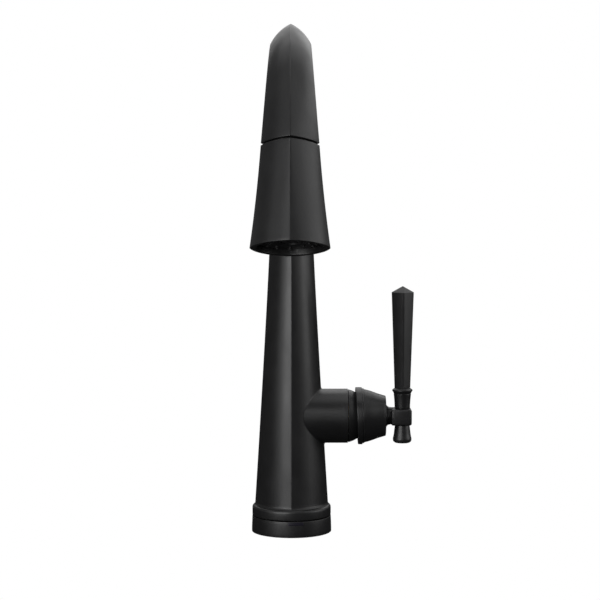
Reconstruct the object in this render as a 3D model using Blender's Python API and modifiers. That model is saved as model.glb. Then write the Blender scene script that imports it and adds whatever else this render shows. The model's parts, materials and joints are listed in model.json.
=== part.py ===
"""Single-handle pull-down kitchen faucet with a swivelling gooseneck spout.

Metres, +Z up. The origin is the centre of the base where it meets the counter top.
The spout reaches towards -Y and the handle stands on the +X side.
"""
import math

import bmesh
import bpy
from mathutils import Matrix, Vector

MM = 0.001

# Clearances and walls
FIT = 0.3 * MM               # gap between pieces that touch or seat on each other
CUT = 1.0 * MM               # how far a cutter runs past the face that it opens
MERGE = 0.01 * MM
SHELL_WALL = 3.4 * MM        # spout wall, measured at its ridges
HEAD_WALL = 2.8 * MM         # spray head wall, measured at its ridges

# Base and counter mounting
BASE_RADIUS = 32.1 * MM
BASE_HEIGHT = 12.8 * MM
BASE_FLOOR = 2.4 * MM
BASE_EDGE = 0.5 * MM         # small chamfer under the ring
SEAM_GAP = 0.8 * MM          # dark line between the fixed base and the turning body
SHANK_RADIUS = 16.2 * MM
SHANK_BORE = 13.3 * MM
SHANK_BOTTOM = -50.0 * MM
COUNTER_THICKNESS = 30.0 * MM
NUT_HEIGHT = 9.0 * MM
NUT_RADIUS = 25.0 * MM
GASKET_THICKNESS = 1.3 * MM
GASKET_INNER = 25.3 * MM
GASKET_OUTER = 29.0 * MM
LENS_WIDTH = 13.0 * MM
LENS_HEIGHT = 2.9 * MM
LENS_DEPTH = 1.4 * MM
LENS_TURN = math.radians(6.3)    # the lens sits a little to the right of the front

# Turning joint under the body
SPIGOT_RADIUS = 17.7 * MM
SPIGOT_TOP = 36.0 * MM
FLANGE_RADIUS = 24.0 * MM
FLANGE_TOP = 8.0 * MM
FOOT_BORE = 20.8 * MM
FOOT_BORE_TOP = 30.0 * MM

# Body and gooseneck
FOOT_RADIUS = 31.7 * MM
FOOT_EDGE = 19.0 * MM        # height where the foot's shoulder starts
FOOT_TOP = 21.2 * MM
COLUMN_HALF = 29.6 * MM      # ridge radius of the column at the foot
COLUMN_TAPER = 0.0638
COLUMN_EASE = 0.0285         # how the taper slackens, per metre
COLUMN_TOP = 284.7 * MM
ARC_RADIUS = 98.2 * MM
ARC_ANGLE = math.radians(166.0)
NECK_HALF = 15.1 * MM
NECK_EASE = 1.2 * MM
FLARE_START = 165.0 * MM     # along the arc
FLARE = 5.2 * MM
FLARE_POWER = 1.85
FOOT_ROUND = 0.93            # radius at mid-panel over radius at the ridge
NECK_ROUND = 0.83
ROUND_FROM = 80.0 * MM
ROUND_TO = 380.0 * MM

# Side hub and handle
HUB_Z = 93.4 * MM
HUB_RADIUS = 21.8 * MM
HUB_BORE = HUB_RADIUS - 2.5 * MM
HUB_END = 45.3 * MM
PIVOT_X = 40.9 * MM
DOME_RADIUS = HUB_RADIUS + 0.5 * MM
DOME_WALL = 2.6 * MM
DOME_OPENING = math.radians(36.0)
CARTRIDGE_RADIUS = 15.4 * MM
CARTRIDGE_BACK = 16.4 * MM
CARTRIDGE_FRONT = 33.6 * MM
ROTOR_RADIUS = 11.0 * MM
ROTOR_END = 46.9 * MM
ROTOR_SHAFT = 5.0 * MM
STEM_WIDTH = 8.0 * MM
STEM_START = 37.5 * MM
STEM_END = 71.6 * MM
PIN_RADIUS = 1.5 * MM
PIN_LENGTH = 18.0 * MM
SKIRT_RADIUS = HUB_RADIUS + 1.2 * MM
SKIRT_START = 51.2 * MM
SKIRT_END = 56.7 * MM
SKIRT_SLANT = math.radians(2.7)
BONNET_END = 75.8 * MM
LEVER_X = 89.3 * MM
STUD_RADIUS = 4.1 * MM
STUD_DEPTH = 2.9 * MM        # how far the block's stud goes into the skirt
BLOCK_START = 80.0 * MM
BLOCK_END = 96.6 * MM
BLOCK_DEPTH = 14.0 * MM
BLOCK_BOTTOM = 86.3 * MM
BLOCK_TOP = 99.4 * MM
FERRULE_TOP = 116.0 * MM
LEVER_FOOT_HALF = 6.3 * MM
LEVER_TOP_HALF = 8.86 * MM
LEVER_SHOULDER = 193.2 * MM
LEVER_TIP = 198.0 * MM
LEVER_ROUND = 0.80
FINIAL_BOTTOM = 71.6 * MM
SET_SCREW_X = 66.0 * MM
SET_SCREW_RADIUS = 2.0 * MM

# Water path inside the body
HOSE_RADIUS = 4.8 * MM
HOSE_SHIFT = -7.6 * MM       # the hose passes beside the valve
HOSE_END_GAP = 1.1 * MM      # the hose comes to its coupling off the curve, a little askew
VALVE_START = -2.0 * MM
VALVE_CORE = 13.5 * MM
TUBE_RADIUS = 3.2 * MM
TUBE_WALL = 0.9 * MM
SUPPLY_X = 1.5 * MM
SUPPLY_Y = 6.9 * MM
OUTLET_X = 9.4 * MM

# Pull-down spray head, along its own axis from the seam
HEAD_TILT = math.pi - ARC_ANGLE
HEAD_GAP = 1.2 * MM
HEAD_LENGTH = 73.8 * MM
HEAD_TOP_HALF = 20.3 * MM
HEAD_TAPER = 0.0669
HEAD_FLARE = 0.454           # per metre
HEAD_TOP_ROUND = 0.84
HEAD_END_ROUND = 0.94
HEAD_TOP_WALL = 4.8 * MM
COLLAR_RADIUS = 13.7 * MM
COLLAR_BORE = 9.4 * MM
COLLAR_HEIGHT = 14.0 * MM
MAGNET_INNER = 10.6 * MM
MAGNET_OUTER = 12.9 * MM
MAGNET_HEIGHT = 4.4 * MM
COUPLING_RADIUS = 8.9 * MM
COUPLING_THREAD = 7.4 * MM
COUPLING_TOP = 12.4 * MM
COUPLING_BOTTOM = -16.0 * MM
COUPLING_BORE = 3.5 * MM
WATERWAY_RADIUS = 13.5 * MM
WATERWAY_BOTTOM = -46.0 * MM
MANIFOLD_RADIUS = 18.4 * MM
RECESS_RADIUS = 23.2 * MM
RECESS_TOP = 8.5 * MM - HEAD_LENGTH
MANIFOLD_BOTTOM = RECESS_TOP + 3.5 * MM
MAT_TOP = MANIFOLD_BOTTOM - 0.4 * MM
FACE_RADIUS = RECESS_RADIUS - FIT
FACE_TOP = RECESS_TOP - FIT
FACE_BOTTOM = FACE_TOP - 4.5 * MM
MAT_RADIUS = 20.6 * MM
NOZZLE_RADIUS = 1.0 * MM
NOZZLE_TIP = FACE_BOTTOM - 0.9 * MM
NOZZLE_RINGS = ((18.0 * MM, 12), (13.2 * MM, 8))
AERATOR_RADIUS = 7.9 * MM
AERATOR_TOP = MANIFOLD_BOTTOM + 1.0 * MM
AERATOR_BOTTOM = FACE_BOTTOM + FIT
AERATOR_WALL = 1.3 * MM
AERATOR_DIP = 1.5 * MM
BUTTON_WIDTH = 12.0 * MM
BUTTON_TOP = -22.0 * MM
BUTTON_BOTTOM = -44.0 * MM
BUTTON_BACK = 17.8 * MM
BUTTON_PROUD = 0.6 * MM

SECTION_STEPS = 5            # steps along each of a section's four arcs
ARC_STEPS = 13
FINE_STEPS = 36
ROUND_STEPS = 24
SMALL_STEPS = 16
BORE_TURN = math.radians(1.9)

FOOT_BOTTOM = BASE_HEIGHT + SEAM_GAP
SPOUT_LENGTH = COLUMN_TOP + ARC_RADIUS * ARC_ANGLE
COLUMN_HEIGHTS = tuple(h * MM for h in (15.0, 24.0, 50.0, 85.0, 120.0, 155.0, 190.0, 220.0, 245.0, 267.0))

BLACK = (0.022, 0.022, 0.023)
BRASS = (0.62, 0.47, 0.22)
STEEL = (0.55, 0.55, 0.56)
COPPER = (0.66, 0.36, 0.22)


def clear_scene():
    for thing in list(bpy.data.objects):
        bpy.data.objects.remove(thing, do_unlink=True)


def new_collection(name):
    group = bpy.data.collections.new(name)
    bpy.context.scene.collection.children.link(group)
    return group


clear_scene()
PARTS = new_collection("pull_down_faucet")
CUTTERS = new_collection("cutters")


def finish(name, colour, roughness, metallic):
    """A plain material of the piece's own."""
    paint = bpy.data.materials.new(name)
    paint.use_nodes = True
    shader = paint.node_tree.nodes["Principled BSDF"]
    shader.inputs["Base Color"].default_value = (*colour, 1.0)
    shader.inputs["Roughness"].default_value = roughness
    shader.inputs["Metallic"].default_value = metallic
    return paint


def place(name, mesh, look=None, parent=None):
    """Add a piece with its own material, or a cutter when it has no look."""
    piece = bpy.data.objects.new(name, mesh)
    piece.parent = parent
    if look is None:
        CUTTERS.objects.link(piece)
        piece.hide_render = True
        piece.display_type = "WIRE"
    else:
        PARTS.objects.link(piece)
        mesh.materials.append(finish(name + "_finish", *look))
    return piece


def axis_empty(name, location, rotation=(0.0, 0.0, 0.0)):
    empty = bpy.data.objects.new(name, None)
    empty.location = location
    empty.rotation_euler = rotation
    empty.empty_display_size = 10.0 * MM
    PARTS.objects.link(empty)
    return empty


def turned(name, profile, look=None, parent=None, steps=ROUND_STEPS):
    """Turn an (r, z) profile about Z. It runs down the outer side first."""
    mesh = bpy.data.meshes.new(name)
    corners = [(r, 0.0, z) for r, z in profile]
    edges = [(i, i + 1) for i in range(len(corners) - 1)]
    if profile[0][0] > 0.0:
        edges.append((len(corners) - 1, 0))
    mesh.from_pydata(corners, edges, [])
    piece = place(name, mesh, look, parent)
    turn = piece.modifiers.new("Turn", "SCREW")
    turn.axis = "Z"
    turn.steps = steps
    turn.render_steps = steps
    turn.use_merge_vertices = True
    turn.merge_threshold = MERGE
    turn.use_smooth_shade = True
    return piece


def ring(name, inner, outer, low, high, look=None, parent=None, steps=ROUND_STEPS):
    profile = [(outer, high), (outer, low), (inner, low), (inner, high)]
    return turned(name, profile, look, parent, steps)


def rod(name, radius, low, high, look=None, parent=None, steps=ROUND_STEPS):
    profile = [(0.0, high), (radius, high), (radius, low), (0.0, low)]
    return turned(name, profile, look, parent, steps)


def round_cutter(name, radius, low, high, parent=None, steps=ROUND_STEPS):
    """A round cutter, turned a little so that its edges miss the edges it crosses."""
    cutter = rod(name, radius, low, high, parent=parent, steps=steps)
    cutter.rotation_euler.z = BORE_TURN
    return cutter


def block(name, low, high, look=None, parent=None):
    """A box between two corners."""
    size = Vector(high) - Vector(low)
    middle = (Vector(high) + Vector(low)) / 2.0
    solid = bmesh.new()
    bmesh.ops.create_cube(solid, size=1.0, matrix=Matrix.Translation(middle) @ Matrix.Diagonal((*size, 1.0)))
    mesh = bpy.data.meshes.new(name)
    solid.to_mesh(mesh)
    solid.free()
    return place(name, mesh, look, parent)


def combine(piece, tool, operation):
    """Cut, join or keep the shared part of a piece and a tool."""
    change = piece.modifiers.new(operation.title(), "BOOLEAN")
    change.operation = operation
    change.object = tool
    change.solver = "EXACT"


def soften(piece, width, segments=2):
    bevel = piece.modifiers.new("Soft edges", "BEVEL")
    bevel.width = width
    bevel.segments = segments
    bevel.limit_method = "ANGLE"


def smooth_step(value, start, end):
    share = min(1.0, max(0.0, (value - start) / (end - start)))
    return share * share * (3.0 - 2.0 * share)


def section(half, roundness, steps=SECTION_STEPS):
    """A four-sided section with ridges on its axes and bowed sides between them."""
    middle = half * roundness / math.sqrt(2.0)
    shift = (2.0 * middle ** 2 - half ** 2) / (2.0 * half - 4.0 * middle)
    radius = math.hypot(half + shift, shift)
    start = math.atan2(shift, half + shift)
    sweep = math.pi / 2.0 - 2.0 * start
    points = []
    for side in range(4):
        turn = Matrix.Rotation(side * math.pi / 2.0, 2)
        for step in range(steps):
            angle = start + sweep * step / steps
            corner = Vector((radius * math.cos(angle) - shift, radius * math.sin(angle) - shift))
            points.append(turn @ corner)
    return points


def loft(name, rings, look=None, parent=None):
    """A closed solid through rings of points, capped at both ends."""
    solid = bmesh.new()
    loops = []
    for points in rings:
        corners = [solid.verts.new(point) for point in points]
        loops.append([solid.edges.new((a, b)) for a, b in zip(corners, corners[1:] + corners[:1])])
    for lower, upper in zip(loops, loops[1:]):
        bmesh.ops.bridge_loops(solid, edges=lower + upper)
    for end in (loops[0], loops[-1]):
        bmesh.ops.edgeloop_fill(solid, edges=end)
    bmesh.ops.recalc_face_normals(solid, faces=solid.faces)
    mesh = bpy.data.meshes.new(name)
    solid.to_mesh(mesh)
    solid.free()
    return place(name, mesh, look, parent)


def spout_half(distance):
    """Ridge radius of the spout at a distance along its centre line."""
    run = distance - FOOT_TOP
    tapered = COLUMN_HALF - COLUMN_TAPER * run + COLUMN_EASE * run * run
    half = NECK_HALF + NECK_EASE * math.log(1.0 + math.exp((tapered - NECK_HALF) / NECK_EASE))
    arc = distance - COLUMN_TOP
    span = SPOUT_LENGTH - COLUMN_TOP - FLARE_START
    return half + FLARE * max(0.0, (arc - FLARE_START) / span) ** FLARE_POWER


def spout_round(distance):
    return FOOT_ROUND + (NECK_ROUND - FOOT_ROUND) * smooth_step(distance, ROUND_FROM, ROUND_TO)


def spout_frame(distance):
    """Centre of the spout, and the direction of its outer ridge."""
    if distance <= COLUMN_TOP:
        return Vector((0.0, 0.0, distance)), Vector((0.0, 1.0, 0.0))
    angle = min((distance - COLUMN_TOP) / ARC_RADIUS, ARC_ANGLE)
    outward = Vector((0.0, math.cos(angle), math.sin(angle)))
    onward = Vector((0.0, -math.sin(angle), math.cos(angle)))
    centre = Vector((0.0, -ARC_RADIUS, COLUMN_TOP)) + ARC_RADIUS * outward
    return centre + onward * max(0.0, distance - SPOUT_LENGTH), outward


def spout_ring(distance, inset=0.0):
    centre, outward = spout_frame(distance)
    corners = section(spout_half(min(distance, SPOUT_LENGTH)) - inset, spout_round(distance))
    return [centre + Vector((x, 0.0, 0.0)) + outward * n for x, n in corners]


def head_half(down):
    return HEAD_TOP_HALF + HEAD_TAPER * down + HEAD_FLARE * down * down


def head_ring(down, inset=0.0):
    roundness = HEAD_TOP_ROUND + (HEAD_END_ROUND - HEAD_TOP_ROUND) * down / HEAD_LENGTH
    return [Vector((x, y, -down)) for x, y in section(head_half(down) - inset, roundness)]


def head_stations(start, end, count=5):
    return [start + (end - start) * step / count for step in range(count + 1)]


def arc_points(radius, start, end, steps):
    """Points (r, z) on a circle about the handle's pivot, by angle from its axis."""
    angles = [start + (end - start) * step / steps for step in range(steps + 1)]
    return [(radius * math.sin(a), radius * math.cos(a)) for a in angles]


# Axes that pieces sit on: turned pieces on the hub run along +X
hub_axis = axis_empty("hub_axis", (0.0, 0.0, HUB_Z), (0.0, math.pi / 2.0, 0.0))
handle_pivot = axis_empty("handle_pivot", (PIVOT_X, 0.0, HUB_Z))
handle_axis = axis_empty("handle_axis", (PIVOT_X, 0.0, HUB_Z), (0.0, math.pi / 2.0, 0.0))
head_axis = axis_empty("head_axis", spout_frame(SPOUT_LENGTH)[0], (-HEAD_TILT, 0.0, 0.0))


def base_ring():
    groove = GASKET_THICKNESS + FIT
    rim_floor = BASE_HEIGHT - 1.2 * MM
    profile = [
        (FOOT_RADIUS, BASE_HEIGHT),
        (BASE_RADIUS, 3.0 * MM),
        (BASE_RADIUS, BASE_EDGE),
        (BASE_RADIUS - BASE_EDGE, 0.0),
        (GASKET_OUTER + FIT, 0.0),
        (GASKET_OUTER + FIT, groove),
        (GASKET_INNER - FIT, groove),
        (GASKET_INNER - FIT, 0.0),
        (SHANK_RADIUS + 0.8 * MM, 0.0),
        (SHANK_RADIUS + 0.8 * MM, BASE_FLOOR),
        (FLANGE_RADIUS + FIT, BASE_FLOOR),
        (FLANGE_RADIUS + FIT, rim_floor),
        (FLANGE_RADIUS + 2.0 * MM, BASE_HEIGHT),
    ]
    body = turned("base_ring", profile, (BLACK, 0.42, 0.3), steps=FINE_STEPS)
    low = (-LENS_WIDTH / 2.0 - FIT, -BASE_RADIUS - CUT, BASE_HEIGHT - LENS_HEIGHT - FIT)
    high = (LENS_WIDTH / 2.0 + FIT, -BASE_RADIUS + LENS_DEPTH + 2.0 * FIT, BASE_HEIGHT + CUT)
    pocket = block("lens_pocket", low, high)
    pocket.rotation_euler.z = LENS_TURN
    combine(body, pocket, "DIFFERENCE")


def indicator_lens():
    low = (-LENS_WIDTH / 2.0, -BASE_RADIUS - CUT, BASE_HEIGHT - LENS_HEIGHT)
    high = (LENS_WIDTH / 2.0, -BASE_RADIUS + LENS_DEPTH + FIT, BASE_HEIGHT - FIT)
    lens = block("indicator_lens", low, high, ((0.03, 0.028, 0.05), 0.25, 0.0))
    lens.rotation_euler.z = LENS_TURN
    rim = rod("lens_outline", FOOT_RADIUS + FIT / 3.0, 0.0, BASE_HEIGHT + CUT, steps=2 * FINE_STEPS)
    combine(lens, rim, "INTERSECT")


def counter_mounting():
    ring("base_gasket", GASKET_INNER, GASKET_OUTER, 0.0, GASKET_THICKNESS, ((0.03, 0.03, 0.03), 0.8, 0.0))
    groove_low = FOOT_BORE_TOP + 1.7 * MM
    groove_high = groove_low + 2.0 * MM
    groove = SPIGOT_RADIUS - 1.0 * MM
    profile = [
        (SPIGOT_RADIUS, SPIGOT_TOP),
        (SPIGOT_RADIUS, groove_high),
        (groove, groove_high),
        (groove, groove_low),
        (SPIGOT_RADIUS, groove_low),
        (SPIGOT_RADIUS, FLANGE_TOP),
        (FLANGE_RADIUS, FLANGE_TOP),
        (FLANGE_RADIUS, BASE_FLOOR + FIT),
        (SHANK_RADIUS, BASE_FLOOR + FIT),
        (SHANK_RADIUS, SHANK_BOTTOM + 1.0 * MM),
        (SHANK_RADIUS - 1.0 * MM, SHANK_BOTTOM),
        (SHANK_BORE, SHANK_BOTTOM),
        (SHANK_BORE, SPIGOT_TOP),
    ]
    turned("mounting_shank", profile, (BRASS, 0.35, 1.0))
    bore = SHANK_RADIUS + FIT
    rubber_top = -COUNTER_THICKNESS
    washer_top = rubber_top - 1.5 * MM - FIT
    nut_top = washer_top - 1.5 * MM - FIT
    ring("clamp_gasket", bore, 26.0 * MM, rubber_top - 1.5 * MM, rubber_top, ((0.03, 0.03, 0.03), 0.8, 0.0))
    ring("clamp_washer", bore, 27.0 * MM, washer_top - 1.5 * MM, washer_top, (STEEL, 0.35, 1.0))
    nut = rod("mounting_nut", NUT_RADIUS, nut_top - NUT_HEIGHT, nut_top, (BRASS, 0.4, 1.0), steps=6)
    combine(nut, round_cutter("nut_bore", bore, nut_top - NUT_HEIGHT - CUT, nut_top + CUT), "DIFFERENCE")


def swivel_joint():
    inner = SPIGOT_RADIUS + FIT
    profile = [
        (FOOT_BORE - FIT - 0.1 * MM, FOOT_BORE_TOP - FIT),
        (FOOT_BORE - FIT - 0.1 * MM, FOOT_BOTTOM - FIT),
        (FLANGE_RADIUS, FOOT_BOTTOM - FIT),
        (FLANGE_RADIUS, FLANGE_TOP + FIT),
        (inner, FLANGE_TOP + FIT),
        (inner, FOOT_BORE_TOP - FIT),
    ]
    turned("swivel_bearing", profile, ((0.8, 0.8, 0.78), 0.5, 0.0))
    washer_low = FOOT_BORE_TOP + FIT
    ring("swivel_washer", inner, 22.6 * MM, washer_low, washer_low + 1.0 * MM, ((0.8, 0.8, 0.78), 0.5, 0.0))
    clip_low = FOOT_BORE_TOP + 1.7 * MM + FIT
    clip_inner = SPIGOT_RADIUS - 1.0 * MM + FIT
    ring("swivel_snap_ring", clip_inner, 21.0 * MM, clip_low, clip_low + 1.4 * MM, (STEEL, 0.3, 1.0))


def spout_body():
    arc = [COLUMN_TOP + ARC_RADIUS * ARC_ANGLE * step / ARC_STEPS for step in range(ARC_STEPS + 1)]
    stations = list(COLUMN_HEIGHTS) + arc
    body = loft("spout_body", [spout_ring(distance) for distance in stations], (BLACK, 0.42, 0.3))
    shoulder = [
        (0.0, FOOT_TOP),
        (COLUMN_HALF, FOOT_TOP),
        (FOOT_RADIUS - 0.7 * MM, FOOT_EDGE + 1.4 * MM),
        (FOOT_RADIUS, FOOT_EDGE),
        (FOOT_RADIUS, FOOT_BOTTOM),
        (0.0, FOOT_BOTTOM),
    ]
    combine(body, turned("foot_solid", shoulder, steps=FINE_STEPS), "UNION")
    combine(body, rod("hub_solid", HUB_RADIUS, 2.0 * MM, HUB_END, parent=hub_axis), "UNION")
    inside = [d for d in list(COLUMN_HEIGHTS[3::2]) + arc[:-1] if d > FOOT_BORE_TOP]
    inside = [FOOT_BORE_TOP] + inside + [SPOUT_LENGTH + 3.0 * MM]
    hollow = loft("spout_hollow", [spout_ring(distance, SHELL_WALL) for distance in inside])
    combine(body, hollow, "DIFFERENCE")
    combine(body, round_cutter("foot_bore", FOOT_BORE, FOOT_BOTTOM - CUT, FOOT_BORE_TOP + CUT), "DIFFERENCE")
    combine(body, round_cutter("hub_bore", HUB_BORE, 4.0 * MM, HUB_END + CUT, parent=hub_axis), "DIFFERENCE")
    pocket = round_cutter("dock_pocket", COLLAR_RADIUS + FIT, -CUT, COLLAR_HEIGHT + 2.0 * FIT,
                          parent=head_axis)
    combine(body, pocket, "DIFFERENCE")


def valve():
    seat = CARTRIDGE_BACK - FIT - 0.1 * MM
    chamber = CARTRIDGE_RADIUS + 0.4 * MM
    outer = HUB_BORE - FIT - 0.1 * MM
    step = 5.0 * MM
    profile = [
        (0.0, seat),
        (chamber, seat),
        (chamber, CARTRIDGE_FRONT + 0.4 * MM),
        (outer, CARTRIDGE_FRONT + 0.4 * MM),
        (outer, step),
        (VALVE_CORE, step),
        (VALVE_CORE, VALVE_START),
        (0.0, VALVE_START),
    ]
    turned("valve_body", profile, (BRASS, 0.4, 1.0), hub_axis)
    socket = ROTOR_SHAFT + 0.4 * MM
    profile = [
        (0.0, 24.0 * MM),
        (socket, 24.0 * MM),
        (socket, CARTRIDGE_FRONT),
        (CARTRIDGE_RADIUS, CARTRIDGE_FRONT),
        (CARTRIDGE_RADIUS, CARTRIDGE_BACK),
        (0.0, CARTRIDGE_BACK),
    ]
    turned("mixing_cartridge", profile, ((0.75, 0.75, 0.72), 0.45, 0.0), hub_axis)
    nut_low = CARTRIDGE_FRONT + 0.8 * MM
    nut_bore = ROTOR_RADIUS + 0.6 * MM
    ring("cartridge_nut", nut_bore, HUB_BORE - FIT, nut_low, nut_low + 3.0 * MM, (BRASS, 0.35, 1.0), hub_axis)

    inner = TUBE_RADIUS - TUBE_WALL
    supply_top = HUB_Z - math.sqrt(VALVE_CORE ** 2 - (SUPPLY_Y - TUBE_RADIUS) ** 2) - FIT
    outlet_top = HUB_Z - outer - FIT
    tubes = (
        ("supply_tube_hot", SUPPLY_X, SUPPLY_Y, supply_top),
        ("supply_tube_cold", SUPPLY_X, -SUPPLY_Y, supply_top),
        ("outlet_tube", OUTLET_X, 0.0, outlet_top),
    )
    for name, x, y, top in tubes:
        tube = ring(name, inner, TUBE_RADIUS, SHANK_BOTTOM + 2.0 * MM, top, (COPPER, 0.35, 1.0), steps=12)
        tube.location = (x, y, 0.0)


def dome_cap():
    sleeve = HUB_BORE - FIT
    sleeve_inner = sleeve - 1.8 * MM
    inside = DOME_RADIUS - DOME_WALL
    seam = HUB_END + FIT - PIVOT_X
    outer_start = math.acos(seam / DOME_RADIUS)
    inner_start = math.asin(sleeve_inner / inside)
    profile = arc_points(DOME_RADIUS, DOME_OPENING, outer_start, 6)
    profile += [(sleeve, seam), (sleeve, seam - 7.8 * MM), (sleeve_inner, seam - 7.8 * MM)]
    profile += arc_points(inside, inner_start, DOME_OPENING, 3)
    turned("dome_cap", profile, (BLACK, 0.42, 0.3), handle_axis)


def temperature_pieces():
    shaft_end = 25.0 * MM - PIVOT_X
    disc = CARTRIDGE_FRONT + FIT - PIVOT_X
    profile = [
        (0.0, ROTOR_END - PIVOT_X),
        (ROTOR_RADIUS, ROTOR_END - PIVOT_X),
        (ROTOR_RADIUS, disc),
        (ROTOR_SHAFT, disc),
        (ROTOR_SHAFT, shaft_end),
        (0.0, shaft_end),
    ]
    rotor = turned("cartridge_rotor", profile, (BRASS, 0.35, 1.0), handle_axis, SMALL_STEPS)
    slot = STEM_WIDTH / 2.0 + FIT
    slot_back = -math.hypot(STEM_START - PIVOT_X, STEM_WIDTH / 2.0) - FIT
    reach = ROTOR_RADIUS + CUT
    fork_end = ROTOR_END - PIVOT_X + CUT
    fork = block("rotor_slot", (slot_back, -slot, -reach), (fork_end, slot, reach), parent=handle_pivot)
    combine(rotor, fork, "DIFFERENCE")
    hole = rod("rotor_pin_hole", PIN_RADIUS + FIT, -reach, reach, parent=handle_pivot, steps=12)
    hole.rotation_euler.x = math.pi / 2.0
    combine(rotor, hole, "DIFFERENCE")
    pin = rod("stem_pin", PIN_RADIUS, -PIN_LENGTH / 2.0, PIN_LENGTH / 2.0, (STEEL, 0.25, 1.0),
              handle_pivot, 12)
    pin.rotation_euler.x = math.pi / 2.0
    return hole


def handle_stem(pin_hole):
    half = STEM_WIDTH / 2.0
    stem = block("handle_stem", (STEM_START - PIVOT_X, -half, -half), (STEM_END - PIVOT_X, half, half),
                 (BRASS, 0.35, 1.0), handle_pivot)
    combine(stem, pin_hole, "DIFFERENCE")


def handle_skirt():
    hollow = DOME_RADIUS + FIT + 0.1 * MM
    start = SKIRT_START - PIVOT_X
    lip = math.acos(start / hollow)
    end = BONNET_END - PIVOT_X
    ring_end = SKIRT_END - PIVOT_X
    profile = [
        (0.0, end),
        (15.5 * MM, end),
        (16.2 * MM, end - 0.7 * MM),
        (17.8 * MM, end - 5.9 * MM),
        (19.6 * MM, end - 10.8 * MM),
        (21.0 * MM, end - 15.6 * MM),
        (SKIRT_RADIUS - 1.3 * MM, ring_end),
        (SKIRT_RADIUS - 0.3 * MM, ring_end),
        (SKIRT_RADIUS, ring_end - 0.3 * MM),
        (SKIRT_RADIUS, start + 0.4 * MM),
        (SKIRT_RADIUS - 0.4 * MM, start),
    ]
    profile += arc_points(hollow, lip, 0.0, 6)[:-1] + [(0.0, hollow)]
    skirt = turned("handle_skirt", profile, (BLACK, 0.42, 0.3), handle_axis)
    half = STEM_WIDTH / 2.0 + FIT
    socket = block("stem_socket", (hollow - 4.0 * MM, -half, -half), (STEM_END - PIVOT_X + FIT, half, half),
                   parent=handle_pivot)
    combine(skirt, socket, "DIFFERENCE")
    stud = round_cutter("tee_stud_hole", STUD_RADIUS + FIT, end - STUD_DEPTH - FIT, end + CUT,
                        parent=handle_axis, steps=SMALL_STEPS)
    combine(skirt, stud, "DIFFERENCE")
    reach = SKIRT_RADIUS + 2.0 * MM
    slant = block("skirt_slant", (start - 4.0 * MM, -reach, -2.0 * reach), (start + 0.2 * MM, reach, 0.0),
                  parent=handle_pivot)
    slant.location.z = SKIRT_RADIUS
    slant.rotation_euler.y = -SKIRT_SLANT
    combine(skirt, slant, "DIFFERENCE")
    screw_x = SET_SCREW_X - PIVOT_X
    hole = rod("set_screw_hole", SET_SCREW_RADIUS + FIT, -SKIRT_RADIUS, -half + CUT,
               parent=handle_pivot, steps=12)
    hole.location.x = screw_x
    combine(skirt, hole, "DIFFERENCE")
    screw = rod("handle_set_screw", SET_SCREW_RADIUS, -15.5 * MM, -STEM_WIDTH / 2.0 - FIT,
                (STEEL, 0.3, 1.0), handle_pivot, 12)
    screw.location.x = screw_x


def handle_tee():
    low = (BLOCK_START - PIVOT_X, -BLOCK_DEPTH / 2.0, BLOCK_BOTTOM - HUB_Z)
    high = (BLOCK_END - PIVOT_X, BLOCK_DEPTH / 2.0, BLOCK_TOP - HUB_Z)
    tee = block("handle_tee", low, high, (BLACK, 0.42, 0.3), handle_pivot)
    soften(tee, 1.6 * MM)
    base = BONNET_END + FIT - PIVOT_X
    profile = [
        (0.0, base + 5.0 * MM),
        (6.0 * MM, base + 5.0 * MM),
        (6.6 * MM, base + 3.4 * MM),
        (7.1 * MM, base + 1.7 * MM),
        (8.8 * MM, base),
        (STUD_RADIUS, base),
        (STUD_RADIUS, base - STUD_DEPTH),
        (0.0, base - STUD_DEPTH),
    ]
    combine(tee, turned("tee_neck", profile, parent=handle_axis, steps=SMALL_STEPS), "UNION")
    bore = round_cutter("tee_bore", STUD_RADIUS + FIT, low[2] - CUT, high[2] + CUT,
                        parent=handle_pivot, steps=SMALL_STEPS)
    bore.location.x = LEVER_X - PIVOT_X
    combine(tee, bore, "DIFFERENCE")


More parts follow.
